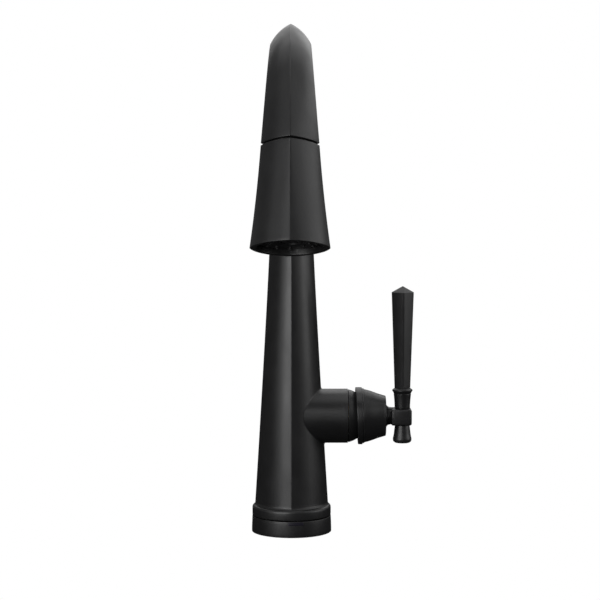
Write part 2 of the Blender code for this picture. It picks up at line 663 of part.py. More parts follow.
def lever():
    lever_axis = axis_empty("lever_axis", (LEVER_X, 0.0, 0.0))
    foot = FERRULE_TOP + FIT
    shape = ((foot, LEVER_FOOT_HALF), (LEVER_SHOULDER, LEVER_TOP_HALF), (LEVER_TIP, 0.5 * MM))
    rings = [[Vector((x, y, z)) for x, y in section(half, LEVER_ROUND, 3)] for z, half in shape]
    bar = loft("lever", rings, (BLACK, 0.42, 0.3), lever_axis)
    stud_end = HUB_Z + FIT
    stud = rod("lever_stud", STUD_RADIUS, stud_end, foot + CUT, parent=lever_axis, steps=SMALL_STEPS)
    combine(bar, stud, "UNION")
    seat = BLOCK_TOP + FIT
    profile = [
        (LEVER_FOOT_HALF, FERRULE_TOP),
        (6.9 * MM, FERRULE_TOP - 0.5 * MM),
        (8.1 * MM, FERRULE_TOP - 1.4 * MM),
        (8.1 * MM, FERRULE_TOP - 2.2 * MM),
        (7.1 * MM, FERRULE_TOP - 4.1 * MM),
        (6.7 * MM, FERRULE_TOP - 4.5 * MM),
        (6.9 * MM, FERRULE_TOP - 4.9 * MM),
        (6.4 * MM, seat + 4.5 * MM),
        (6.2 * MM, seat),
        (STUD_RADIUS + FIT, seat),
        (STUD_RADIUS + FIT, FERRULE_TOP),
    ]
    turned("lever_ferrule", profile, (BLACK, 0.42, 0.3), lever_axis, SMALL_STEPS)
    seat = BLOCK_BOTTOM - FIT
    profile = [
        (0.0, HUB_Z - FIT),
        (STUD_RADIUS, HUB_Z - FIT),
        (STUD_RADIUS, seat),
        (5.9 * MM, seat),
        (6.8 * MM, FINIAL_BOTTOM + 6.5 * MM),
        (7.5 * MM, FINIAL_BOTTOM + 3.2 * MM),
        (7.3 * MM, FINIAL_BOTTOM + 1.6 * MM),
        (5.8 * MM, FINIAL_BOTTOM),
        (0.0, FINIAL_BOTTOM),
    ]
    turned("lever_finial", profile, (BLACK, 0.42, 0.3), lever_axis, SMALL_STEPS)


def dock():
    groove = MAGNET_HEIGHT + 2.0 * FIT
    low = 0.4 * MM
    profile = [
        (COLLAR_RADIUS, COLLAR_HEIGHT),
        (COLLAR_RADIUS, low),
        (MAGNET_OUTER + FIT, low),
        (MAGNET_OUTER + FIT, low + groove),
        (MAGNET_INNER - FIT, low + groove),
        (MAGNET_INNER - FIT, low),
        (COLLAR_BORE, low),
        (COLLAR_BORE, COLLAR_HEIGHT),
    ]
    turned("dock_collar", profile, ((0.05, 0.05, 0.05), 0.5, 0.0), head_axis)
    low += FIT
    ring("dock_magnet", MAGNET_INNER, MAGNET_OUTER, low, low + MAGNET_HEIGHT,
         ((0.2, 0.2, 0.2), 0.4, 0.8), head_axis)


def spray_hose():
    """The hose as one plain tube, past the valve and round the gooseneck."""
    route = [Vector((HOSE_SHIFT, 0.0, z * MM)) for z in (-48.0, -10.0, 40.0, 90.0, 125.0)]
    for height in (145.0, 165.0, 185.0, 205.0):
        share = 1.0 - smooth_step(height * MM, 125.0 * MM, 225.0 * MM)
        route.append(Vector((HOSE_SHIFT * share, 0.0, height * MM)))
    start = 225.0 * MM
    end = SPOUT_LENGTH - COUPLING_TOP - HOSE_END_GAP
    count = 19
    route += [spout_frame(start + (end - start) * step / count)[0] for step in range(count + 1)]
    curve = bpy.data.curves.new("spray_hose", "CURVE")
    curve.dimensions = "3D"
    curve.bevel_depth = HOSE_RADIUS
    curve.bevel_resolution = 2
    curve.use_fill_caps = True
    line = curve.splines.new("POLY")
    line.points.add(len(route) - 1)
    for point, spot in zip(line.points, route):
        point.co = (*spot, 1.0)
    hose = bpy.data.objects.new("spray_hose", curve)
    curve.materials.append(finish("spray_hose_finish", (0.25, 0.25, 0.26), 0.6, 0.0))
    PARTS.objects.link(hose)


def hose_end():
    profile = [
        (5.4 * MM, COUPLING_TOP),
        (6.2 * MM, COUPLING_TOP - 1.2 * MM),
        (COUPLING_RADIUS, 2.0 * MM),
        (COUPLING_RADIUS, -1.0 * MM),
        (COUPLING_THREAD, -1.6 * MM),
        (COUPLING_THREAD, COUPLING_BOTTOM),
        (COUPLING_BORE, COUPLING_BOTTOM),
        (COUPLING_BORE, COUPLING_TOP),
    ]
    turned("hose_coupling", profile, (BRASS, 0.35, 1.0), head_axis, SMALL_STEPS)
    valve_top = COUPLING_BOTTOM + 10.0 * MM
    rod("check_valve", COUPLING_BORE - FIT, COUPLING_BOTTOM + 1.0 * MM, valve_top,
        ((0.1, 0.25, 0.6), 0.5, 0.0), head_axis, 12)


def button_box(name, gap, look=None):
    half = BUTTON_WIDTH / 2.0 + gap
    low = (-half, BUTTON_BACK - 10.0 * gap, BUTTON_BOTTOM - gap)
    high = (half, 32.0 * MM, BUTTON_TOP + gap)
    return block(name, low, high, look, head_axis)


def spray_head():
    outer = [head_ring(down) for down in head_stations(HEAD_GAP, HEAD_LENGTH)]
    shell = loft("head_shell", outer, (BLACK, 0.42, 0.3), head_axis)
    inside_top = HEAD_GAP + HEAD_TOP_WALL
    inside = [head_ring(down, HEAD_WALL) for down in head_stations(inside_top, -RECESS_TOP + CUT)]
    combine(shell, loft("head_hollow", inside, parent=head_axis), "DIFFERENCE")
    mouth = round_cutter("head_recess", RECESS_RADIUS, -HEAD_LENGTH - CUT, RECESS_TOP,
                         parent=head_axis, steps=FINE_STEPS)
    combine(shell, mouth, "DIFFERENCE")
    neck_bore = COUPLING_THREAD + 0.6 * MM
    neck = round_cutter("head_neck_bore", neck_bore, -inside_top - CUT, 0.0, parent=head_axis)
    combine(shell, neck, "DIFFERENCE")
    seat_floor = -HEAD_GAP - 3.0 * MM
    seat = round_cutter("dock_ring_seat", MAGNET_OUTER + FIT, seat_floor, 0.0, parent=head_axis)
    combine(shell, seat, "DIFFERENCE")
    combine(shell, button_box("button_window", FIT), "DIFFERENCE")
    ring("head_dock_ring", COUPLING_RADIUS + 0.7 * MM, MAGNET_OUTER, seat_floor + FIT, -HEAD_GAP - FIT,
         (STEEL, 0.3, 1.0), head_axis)

    button = button_box("mode_button", 0.0, ((0.03, 0.03, 0.03), 0.5, 0.0))
    skin = [head_ring(down, -BUTTON_PROUD) for down in head_stations(HEAD_GAP, HEAD_LENGTH)]
    combine(button, loft("button_skin", skin, parent=head_axis), "INTERSECT")


def head_internals():
    top = -HEAD_GAP - HEAD_TOP_WALL - FIT
    socket = COUPLING_THREAD + 0.4 * MM
    profile = [
        (socket + 2.6 * MM, top),
        (socket + 2.6 * MM, -21.0 * MM),
        (WATERWAY_RADIUS, -25.0 * MM),
        (WATERWAY_RADIUS, WATERWAY_BOTTOM),
        (WATERWAY_RADIUS - 2.0 * MM, WATERWAY_BOTTOM),
        (WATERWAY_RADIUS - 2.0 * MM, -26.5 * MM),
        (4.0 * MM, -21.0 * MM),
        (4.0 * MM, COUPLING_BOTTOM - 1.2 * MM),
        (socket, COUPLING_BOTTOM - 0.6 * MM),
        (socket, top),
    ]
    turned("waterway", profile, ((0.1, 0.1, 0.1), 0.5, 0.0), head_axis, SMALL_STEPS)
    spool = WATERWAY_RADIUS - 2.0 * MM - FIT
    rod("diverter_spool", spool, WATERWAY_BOTTOM + 0.5 * MM, -29.0 * MM, ((0.75, 0.75, 0.72), 0.45, 0.0),
        head_axis, SMALL_STEPS)
    top = WATERWAY_BOTTOM - 0.4 * MM
    profile = [
        (0.0, top),
        (MANIFOLD_RADIUS, top),
        (MANIFOLD_RADIUS, MANIFOLD_BOTTOM),
        (MANIFOLD_RADIUS - 2.4 * MM, MANIFOLD_BOTTOM),
        (MANIFOLD_RADIUS - 2.4 * MM, top - 4.0 * MM),
        (0.0, top - 4.0 * MM),
    ]
    turned("spray_manifold", profile, ((0.1, 0.1, 0.1), 0.5, 0.0), head_axis)


def nozzle_spots():
    for radius, count in NOZZLE_RINGS:
        for index in range(count):
            angle = 2.0 * math.pi * index / count
            yield radius * math.cos(angle), radius * math.sin(angle)


def nozzle_pegs(name, radius, low, high):
    """One cutter or tool that holds a peg for every nozzle."""
    pegs = bmesh.new()
    for x, y in nozzle_spots():
        spot = Matrix.Translation((x, y, (low + high) / 2.0))
        bmesh.ops.create_cone(pegs, cap_ends=True, segments=6, radius1=radius, radius2=radius,
                              depth=high - low, matrix=spot)
    mesh = bpy.data.meshes.new(name)
    pegs.to_mesh(mesh)
    pegs.free()
    return place(name, mesh, parent=head_axis)


def spray_face():
    centre = AERATOR_RADIUS + FIT
    mat_bottom = FACE_TOP + FIT
    mat = ring("nozzle_mat", centre + 0.2 * MM, MAT_RADIUS, mat_bottom, MAT_TOP,
               ((0.05, 0.05, 0.05), 0.7, 0.0), head_axis)
    pegs = nozzle_pegs("nozzle_pegs", NOZZLE_RADIUS, NOZZLE_TIP, mat_bottom + CUT)
    combine(mat, pegs, "UNION")
    face = ring("spray_face", centre, FACE_RADIUS, FACE_BOTTOM, FACE_TOP,
                ((0.03, 0.03, 0.03), 0.4, 0.0), head_axis)
    holes = nozzle_pegs("nozzle_holes", NOZZLE_RADIUS + FIT, FACE_BOTTOM - CUT, FACE_TOP + CUT)
    combine(face, holes, "DIFFERENCE")
    profile = [
        (0.0, AERATOR_TOP),
        (AERATOR_RADIUS, AERATOR_TOP),
        (AERATOR_RADIUS, AERATOR_BOTTOM),
        (AERATOR_RADIUS - AERATOR_WALL, AERATOR_BOTTOM),
        (AERATOR_RADIUS - AERATOR_WALL, AERATOR_BOTTOM + AERATOR_DIP),
        (0.0, AERATOR_BOTTOM + AERATOR_DIP),
    ]
    turned("aerator", profile, ((0.1, 0.1, 0.1), 0.4, 0.0), head_axis, SMALL_STEPS)


base_ring()
indicator_lens()
counter_mounting()
swivel_joint()
spout_body()
valve()
dome_cap()
handle_stem(temperature_pieces())
handle_skirt()
handle_tee()
lever()
dock()
spray_hose()
hose_end()
spray_head()
head_internals()
spray_face()
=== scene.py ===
import json
import math

import bmesh
import bpy
from bpy.props import FloatProperty, FloatVectorProperty, IntProperty, PointerProperty
from mathutils import Matrix, Vector


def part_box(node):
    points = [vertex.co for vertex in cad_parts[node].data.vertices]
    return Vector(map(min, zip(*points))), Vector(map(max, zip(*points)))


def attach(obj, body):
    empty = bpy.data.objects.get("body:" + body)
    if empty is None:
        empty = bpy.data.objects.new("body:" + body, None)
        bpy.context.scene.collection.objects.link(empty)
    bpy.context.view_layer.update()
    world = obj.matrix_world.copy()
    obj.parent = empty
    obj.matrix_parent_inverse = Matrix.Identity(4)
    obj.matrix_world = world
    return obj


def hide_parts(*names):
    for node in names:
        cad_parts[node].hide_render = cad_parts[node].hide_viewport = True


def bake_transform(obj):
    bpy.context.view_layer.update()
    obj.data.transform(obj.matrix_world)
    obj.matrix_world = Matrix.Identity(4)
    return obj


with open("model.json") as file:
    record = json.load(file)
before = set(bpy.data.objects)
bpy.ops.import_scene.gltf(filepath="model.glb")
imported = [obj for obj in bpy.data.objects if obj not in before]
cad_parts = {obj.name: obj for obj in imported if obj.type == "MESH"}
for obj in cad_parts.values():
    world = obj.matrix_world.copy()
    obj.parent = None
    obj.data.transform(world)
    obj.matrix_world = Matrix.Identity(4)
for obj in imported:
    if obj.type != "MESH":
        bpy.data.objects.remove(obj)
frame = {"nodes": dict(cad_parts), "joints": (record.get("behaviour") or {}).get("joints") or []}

bl_info = {
    "name": "Pull-down faucet",
    "version": (1, 0, 0),
    "blender": (4, 5, 0),
    "location": "3D View > Sidebar > Faucet",
    "description": "Makes the visible pieces and finishes of a pull-down kitchen faucet",
    "category": "Object",
}

MM = 0.001
MERGE = 0.002 * MM
ACROSS = 96                  # points round a large piece
FINE = 48                    # points round a small piece
SMOOTH_ANGLE = math.radians(32.0)

# Places that the frame gives
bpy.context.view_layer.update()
JOINTS = {joint["name"]: joint for joint in frame["joints"]}
PIVOT = Vector(JOINTS["handle_lift"]["pos_m"])
SEAM = Vector(JOINTS["head_turn"]["pos_m"])
DOWNWARD = Vector(JOINTS["head_turn"]["axis"])
TILT = math.atan2(-DOWNWARD.y, -DOWNWARD.z)
ARC_ANGLE = math.pi - TILT
ARC_RADIUS = -SEAM.y / (1.0 - math.cos(ARC_ANGLE))
FERRULE_TOP = 12.4 * MM       # the coupling's upper end, above the seam
HUB_FRAME = Matrix.Translation(PIVOT) @ Matrix.Rotation(math.pi / 2.0, 4, "Y")
HEAD_FRAME = Matrix.Translation(SEAM) @ Matrix.Rotation(-TILT, 4, "X")
LEVER_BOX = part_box("lever")
LEVER_X = (LEVER_BOX[0].x + LEVER_BOX[1].x) / 2.0
LEVER_FRAME = Matrix.Translation((LEVER_X, 0.0, 0.0))


def size(name, default, description):
    return FloatProperty(name=name, description=description, default=default, unit="LENGTH", precision=4)


def ratio(name, default, description):
    return FloatProperty(name=name, description=description, default=default, precision=4)


def colour(name, default, description):
    return FloatVectorProperty(name=name, description=description, default=default, subtype="COLOR",
                               size=3, min=0.0, max=1.0)


class BodySizes(bpy.types.PropertyGroup):
    """Sizes of the base, the column and the gooseneck"""

    base_radius: size("Base radius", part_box("base_ring")[1].y, "Outer radius of the base ring")
    base_top: size("Base top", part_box("base_ring")[1].z, "Height of the base ring")
    foot_radius: size("Foot radius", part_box("spout_body")[1].y, "Radius of the body's foot")
    foot_low: size("Foot bottom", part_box("spout_body")[0].z, "Height where the turning body starts")
    foot_bore: size("Foot bore", 0.0208, "Radius of the bore that the bearing fills")
    bore_top: size("Bore top", 0.030, "Height where the foot's bore ends")
    shoulder_top: size("Shoulder top", 0.0215, "Height where the foot's shoulder meets the column")
    cove: size("Cove", 0.0007, "How far the column flares where it meets the shoulder")
    column_half: size("Column ridge radius", 0.0296, "Ridge radius of the column at the foot")
    column_taper: ratio("Column taper", 0.0638, "Loss of radius per metre of height, over the first stretch")
    column_ease: ratio("Column ease", 0.0285, "How the taper slackens with height")
    column_top: size("Column top", SEAM.z - ARC_RADIUS * math.sin(ARC_ANGLE), "Height where the arc starts")
    arc_radius: size("Arc radius", ARC_RADIUS, "Radius of the gooseneck's centre line")
    neck_half: size("Neck ridge radius", 0.0151, "Ridge radius of the thin part of the gooseneck")
    neck_ease: size("Neck ease", 0.0012, "How softly the taper ends")
    flare: size("Flare", 0.0052, "Growth of the ridge radius towards the seam")
    flare_power: ratio("Flare power", 1.85, "How late the flare opens")
    flare_start: size("Flare start", 0.165, "Distance along the arc where the flare starts")
    foot_round: ratio("Roundness at the foot", 0.93, "Radius at mid-panel over radius at the ridge")
    neck_round: ratio("Roundness at the neck", 0.83, "Radius at mid-panel over radius at the ridge")
    wall: size("Wall", 0.0034, "Wall thickness of the body")
    ridge: size("Ridge width", 0.00035, "Half width of the rounding along each ridge")
    lip: size("Lip rounding", 0.0006, "Rounding of the spout's end")


class HandleSizes(bpy.types.PropertyGroup):
    """Sizes of the hub, the skirt and the lever"""

    hub_radius: size("Hub radius", 0.0218, "Radius of the barrel beside the column")
    hub_end: size("Hub end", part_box("spout_body")[1].x, "Where the barrel ends")
    fillet: size("Hub fillet", 0.0019, "Radius of the fillet between column and barrel")
    dome_radius: size("Dome radius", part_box("dome_cap")[1].z - PIVOT.z, "Radius of the domed cap")
    skirt_radius: size("Skirt radius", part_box("handle_skirt")[1].y, "Outer radius of the skirt's ring")
    skirt_start: size("Skirt start", 0.0525, "Middle of the ring's inner face")
    skirt_step: size("Skirt step", 0.05685, "Where the ring steps down to the bonnet")
    bonnet_end: size("Bonnet end", 0.0758, "Where the bonnet ends")
    panel_start: size("Panel start", 0.0595, "Where the bonnet starts to turn four-sided")
    panel_round: ratio("Bonnet roundness", 0.95, "Radius at mid-panel over radius at the bonnet's ridge")
    block_low: size("Block bottom", 0.0863, "Height of the cross block's underside")
    block_high: size("Block top", 0.0994, "Height of the cross block's top")
    lever_foot: size("Lever foot", 0.0063, "Half width of the lever above the ferrule")
    lever_head: size("Lever head", 0.00886, "Half width of the lever at its shoulder")
    lever_shoulder: size("Lever shoulder", 0.1932, "Height where the pyramid tip starts")
    lever_tip: size("Lever tip", LEVER_BOX[1].z, "Height of the tip")
    lever_round: ratio("Lever roundness", 0.76, "Radius at mid-panel over radius at the ridge")
    lever_flat: size("Lever flat", 0.0008, "Half width of the flat along each ridge")


class HeadSizes(bpy.types.PropertyGroup):
    """Sizes of the spray head and the hose"""

    gap: size("Seam", 0.0012, "Gap between the spout and the head")
    length: size("Head length", 0.0738, "Length of the head along its axis, from the seam")
    top_half: size("Top ridge radius", 0.0203, "Ridge radius at the seam")
    taper: ratio("Head taper", 0.0669, "Growth of the ridge radius per metre, at the seam")
    flare: ratio("Head flare", 0.454, "How the growth picks up towards the outlet, per metre")
    top_round: ratio("Roundness at the seam", 0.84, "Radius at mid-panel over radius at the ridge")
    end_round: ratio("Roundness at the outlet", 0.94, "Radius at mid-panel over radius at the ridge")
    wall: size("Head wall", 0.0028, "Wall thickness of the head")
    edge: size("Outlet edge", 0.0005, "Rounding of the head's lower edge")
    recess_radius: size("Recess radius", 0.0232, "Radius of the recess round the spray face")
    recess_depth: size("Recess depth", 0.0085, "Depth of the recess")
    button_top: size("Button top", 0.022, "Distance from the seam to the button's upper edge")
    button_low: size("Button bottom", 0.044, "Distance from the seam to the button's lower edge")
    button_proud: size("Button height", 0.0006, "How far the button stands proud of the head")
    button_gap: size("Button gap", 0.0003, "Gap round the button")
    hose_radius: size("Hose radius", 0.0048, "Outer radius of the braided hose")
    hose_shift: size("Hose shift", -0.0076, "Where the hose passes beside the valve")
    hose_free: size("Hose free length", 0.026, "Where the hose starts to follow the head, above the seam")
    nozzle_radius: size("Nozzle radius", 0.001, "Radius of a spray nozzle")


class Finishes(bpy.types.PropertyGroup):
    """Colours of the finishes"""

    black: colour("Matte black", (0.0115, 0.0115, 0.012), "Colour of the coating")
    # Lighter coating colour on convex edges: partly rubbed wear, partly a painted sheen standing in for edge
    # highlights.
    black_worn_sheen: colour("Rubbed black", (0.035, 0.035, 0.036), "Colour of the coating where edges are rubbed")
    black_roughness: ratio("Coating roughness", 0.36, "Roughness of the coating")
    plastic: colour("Black plastic", (0.014, 0.014, 0.015), "Colour of the moulded black parts")
    rubber: colour("Rubber", (0.02, 0.02, 0.02), "Colour of gaskets and nozzles")
    white_plastic: colour("White plastic", (0.62, 0.61, 0.58), "Colour of the moulded white parts")
    brass: colour("Brass", (0.72, 0.50, 0.22), "Colour of bare brass")
    steel: colour("Steel", (0.56, 0.56, 0.55), "Colour of bare steel")
    copper: colour("Copper", (0.76, 0.38, 0.24), "Colour of the supply tubes")
    lens: colour("Window", (0.0125, 0.0112, 0.019), "Colour of the indicator window")
    braid: colour("Braid", (0.10, 0.10, 0.105), "Colour of the hose's braid")


class StageSettings(bpy.types.PropertyGroup):
    """Camera, floor and lights"""

    lens: ratio("Lens", 105.0, "Focal length in millimetres")
    distance: size("Distance", 1.402, "How far the camera stands in front")
    height: size("Height", 0.285, "Height of the camera")
    aside: size("Aside", 0.0068, "How far the camera stands to the right")
    pitch: FloatProperty(name="Pitch", description="How far the camera looks down", default=math.radians(4.0),
                         subtype="ANGLE", unit="ROTATION")
    floor_half: size("Floor", 8.0, "Half the width of the floor")
    floor_steps: IntProperty(name="Floor steps", description="Squares along each side of the floor",
                             default=8)


# Shapes that more than one piece uses

def smooth_step(value, start, end):
    share = min(1.0, max(0.0, (value - start) / (end - start)))
    return share * share * (3.0 - 2.0 * share)


def steps_between(start, end, count):
    return [start + (end - start) * step / count for step in range(count + 1)]


def section_arc(half, roundness):
    """Shift and radius of the arc that makes one side of a section with ridges on its axes."""
    middle = roundness / math.sqrt(2.0)
    shift = (2.0 * middle ** 2 - 1.0) / (2.0 - 4.0 * middle)
    return half * shift, half * math.hypot(1.0 + shift, shift)


def section_point(turn, half, roundness):
    """A point on a four-sided section; the turn runs from 0 to 1, with a ridge at each quarter."""
    shift, radius = section_arc(half, roundness)
    side = math.floor(turn * 4.0 + 1e-9)
    start = math.atan2(shift, half + shift)
    angle = start + (math.pi / 2.0 - 2.0 * start) * (turn * 4.0 - side)
    corner = Vector((radius * math.cos(angle) - shift, radius * math.sin(angle) - shift))
    return Matrix.Rotation(side * math.pi / 2.0, 2) @ corner


def eased(corners, closed=False, steps=5):
    """An outline through corners (radius, height, rounding), each rounded corner a short curve."""
    points = []
    count = len(corners)
    for index, (radius, height, rounding) in enumerate(corners):
        here = Vector((radius, height))
        if rounding == 0.0 or (not closed and index in (0, count - 1)):
            points.append(here)
            continue
        ends = []
        for other in (corners[index - 1], corners[(index + 1) % count]):
            away = Vector(other[:2]) - here
            ends.append(here + away * min(1.0, rounding / away.length))
        points += [bowed(ends[0], here, ends[1], share) for share in steps_between(0.0, 1.0, steps)]
    return points


def bowed(start, control, end, share):
    """A point on the short curve from start to end that leans towards the control point."""
    left = 1.0 - share
    return start * left * left + control * 2.0 * left * share + end * share * share


def turn(solid, outline, closed=False, steps=ACROSS, place=Matrix()):
    """Spin an outline of (radius, height) about its axis, then put it in place."""
    kept = set(solid.verts)
    corners = [solid.verts.new((radius, 0.0, height)) for radius, height in outline]
    pairs = list(zip(corners, corners[1:]))
    if closed:
        pairs.append((corners[-1], corners[0]))
    line = [solid.edges.new(pair) for pair in pairs]
    bmesh.ops.spin(solid, geom=corners + line, cent=(0.0, 0.0, 0.0), axis=(0.0, 0.0, 1.0),
                   angle=2.0 * math.pi, steps=steps, use_merge=True)
    fresh = [vert for vert in solid.verts if vert not in kept]
    bmesh.ops.transform(solid, matrix=place, verts=fresh)


def skin(solid, rings, ridge_rows=range(0)):
    """Wrap a grid round rings of points. Ridges at each quarter of the given rows are marked as seams."""
    across = len(rings[0])
    along = len(rings) - 1
    grid = bmesh.ops.create_grid(solid, x_segments=across, y_segments=along, size=0.5)["verts"]
    spots = {vert: (round((vert.co.y + 0.5) * along), round((vert.co.x + 0.5) * across)) for vert in grid}
    for edge in {edge for vert in grid for edge in vert.link_edges}:
        (row, column), (other_row, other_column) = (spots[vert] for vert in edge.verts)
        on_ridge = column == other_column and column % (across // 4) == 0
        edge.seam = on_ridge and row in ridge_rows and other_row in ridge_rows
    for vert, (row, column) in spots.items():
        vert.co = rings[row][column % across]
    bmesh.ops.remove_doubles(solid, verts=grid, dist=MERGE)


def patch(solid, across, along, spot):
    """An open sheet of faces, each corner at spot(u, v) with u and v from -1 to 1."""
    grid = bmesh.ops.create_grid(solid, x_segments=across, y_segments=along, size=1.0)["verts"]
    for vert in grid:
        vert.co = spot(vert.co.x, vert.co.y)
    return grid


def thicken(solid, offset):
    """Close an open sheet into a slab by pulling a copy of it out by the offset."""
    made = bmesh.ops.extrude_face_region(solid, geom=list(solid.faces), use_keep_orig=True)["geom"]
    fresh = [item for item in made if isinstance(item, bmesh.types.BMVert)]
    bmesh.ops.translate(solid, verts=fresh, vec=offset)


def round_edges(solid, edges, width, segments=3):
    bmesh.ops.bevel(solid, geom=edges, offset=width, offset_type="OFFSET", segments=segments,
                    profile=0.5, affect="EDGES", material=-1, clamp_overlap=True)


def sink(solid, chosen, offset):
    """Push a group of faces in to make a pocket."""
    made = bmesh.ops.extrude_face_region(solid, geom=chosen)["geom"]
    fresh = [item for item in made if isinstance(item, bmesh.types.BMVert)]
    bmesh.ops.translate(solid, verts=fresh, vec=offset)
    bmesh.ops.delete(solid, geom=[face for face in chosen if face.is_valid], context="FACES")


def finished(name, solid, body, material, slot, *nodes, sharp=SMOOTH_ANGLE):
    """Make an object of a bmesh; it rides on its body and stands for its CAD nodes."""
    bmesh.ops.remove_doubles(solid, verts=solid.verts, dist=MERGE)
    bmesh.ops.recalc_face_normals(solid, faces=solid.faces)
    mesh = bpy.data.meshes.new(name)
    solid.to_mesh(mesh)
    solid.free()
    mesh.shade_smooth()
    mesh.set_sharp_from_angle(angle=sharp)
    mesh.materials.append(material)
    piece = bpy.data.objects.new(name, mesh)
    bpy.context.scene.collection.objects.link(piece)
    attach(piece, body)
    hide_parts(*nodes)
    return piece


# Spout

def spout_length(sizes):
    return sizes.column_top + sizes.arc_radius * ARC_ANGLE


def spout_half(sizes, distance):
    """Ridge radius at a distance along the centre line."""
    run = distance - 0.0212
    tapered = sizes.column_half - sizes.column_taper * run + sizes.column_ease * run * run
    easing = sizes.neck_ease
    half = sizes.neck_half + easing * math.log(1.0 + math.exp((tapered - sizes.neck_half) / easing))
    arc = distance - sizes.column_top
    span = spout_length(sizes) - sizes.column_top - sizes.flare_start
    return half + sizes.flare * max(0.0, (arc - sizes.flare_start) / span) ** sizes.flare_power


def spout_round(sizes, distance):
    share = smooth_step(distance, 0.08, 0.38)
    return sizes.foot_round + (sizes.neck_round - sizes.foot_round) * share


def spout_frame(sizes, distance):
    """Centre of the spout and the direction of its outer ridge."""
    if distance <= sizes.column_top:
        return Vector((0.0, 0.0, distance)), Vector((0.0, 1.0, 0.0))
    angle = (distance - sizes.column_top) / sizes.arc_radius
    outward = Vector((0.0, math.cos(angle), math.sin(angle)))
    return Vector((0.0, -sizes.arc_radius, sizes.column_top)) + sizes.arc_radius * outward, outward


def spout_ring(sizes, distance, inset=0.0, radius=None):
    """A ring on the spout; with a radius it is round, and otherwise it is four-sided."""
    centre, outward = spout_frame(sizes, distance)
    half = spout_half(sizes, distance) - inset
    roundness = spout_round(sizes, distance)
    ring = []
    for step in range(ACROSS):
        corner = section_point(step / ACROSS, half, roundness)
        if radius is not None:
            corner = corner.normalized() * radius
        ring.append(centre + Vector((corner.x, 0.0, 0.0)) + outward * corner.y)
    return ring


def make_spout(sizes, material):
    """Foot, column and gooseneck as one shell with an inner wall."""
    foot = eased([
        (sizes.foot_bore, sizes.bore_top, 0.0),
        (sizes.foot_bore, sizes.foot_low, 0.4 * MM),
        (sizes.foot_radius, sizes.foot_low, 0.5 * MM),
        (sizes.foot_radius, sizes.shoulder_top - 0.3 * MM, 2.2 * MM),
        (sizes.foot_radius - 1.5 * MM, sizes.shoulder_top, 0.0),
    ])
    rings = [spout_ring(sizes, height, radius=radius) for radius, height in foot]
    ridge_start = len(rings)
    for share in steps_between(0.0, 1.0, 5):
        height = sizes.shoulder_top + 0.1 * MM + 2.0 * MM * share
        rings.append(spout_ring(sizes, height, -sizes.cove * (1.0 - share) ** 2))
    end = spout_length(sizes)
    heights = steps_between(sizes.shoulder_top + 4.0 * MM, sizes.column_top, 44)
    arc = steps_between(sizes.column_top, end - sizes.lip, 110)[1:]
    rings += [spout_ring(sizes, distance) for distance in heights + arc]
    ridge_end = len(rings)
    for share in (0.3, 0.6, 0.85, 1.0):
        dip = sizes.lip * (1.0 - math.sqrt(1.0 - share * share))
        rings.append(spout_ring(sizes, end - sizes.lip * (1.0 - share), dip))
    pocket = (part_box("dock_collar")[1].x + 0.3 * MM, 14.8 * MM)
    for radius, distance in eased([(pocket[0] + 1.0 * MM, end, 0.0), (pocket[0], end, 0.4 * MM),
                                   (pocket[0], end - pocket[1], 0.0)]):
        rings.append(spout_ring(sizes, distance, radius=radius))
    inner = steps_between(end - pocket[1] - 0.8 * MM, sizes.bore_top + 2.0 * MM, 60)
    rings += [spout_ring(sizes, distance, sizes.wall) for distance in inner]
    rings.append(rings[0])
    solid = bmesh.new()
    skin(solid, rings, range(ridge_start, ridge_end))
    round_edges(solid, [edge for edge in solid.edges if edge.seam], sizes.ridge)
    finished("spout_shell", solid, "spout", material, "matte_black", "spout_body")


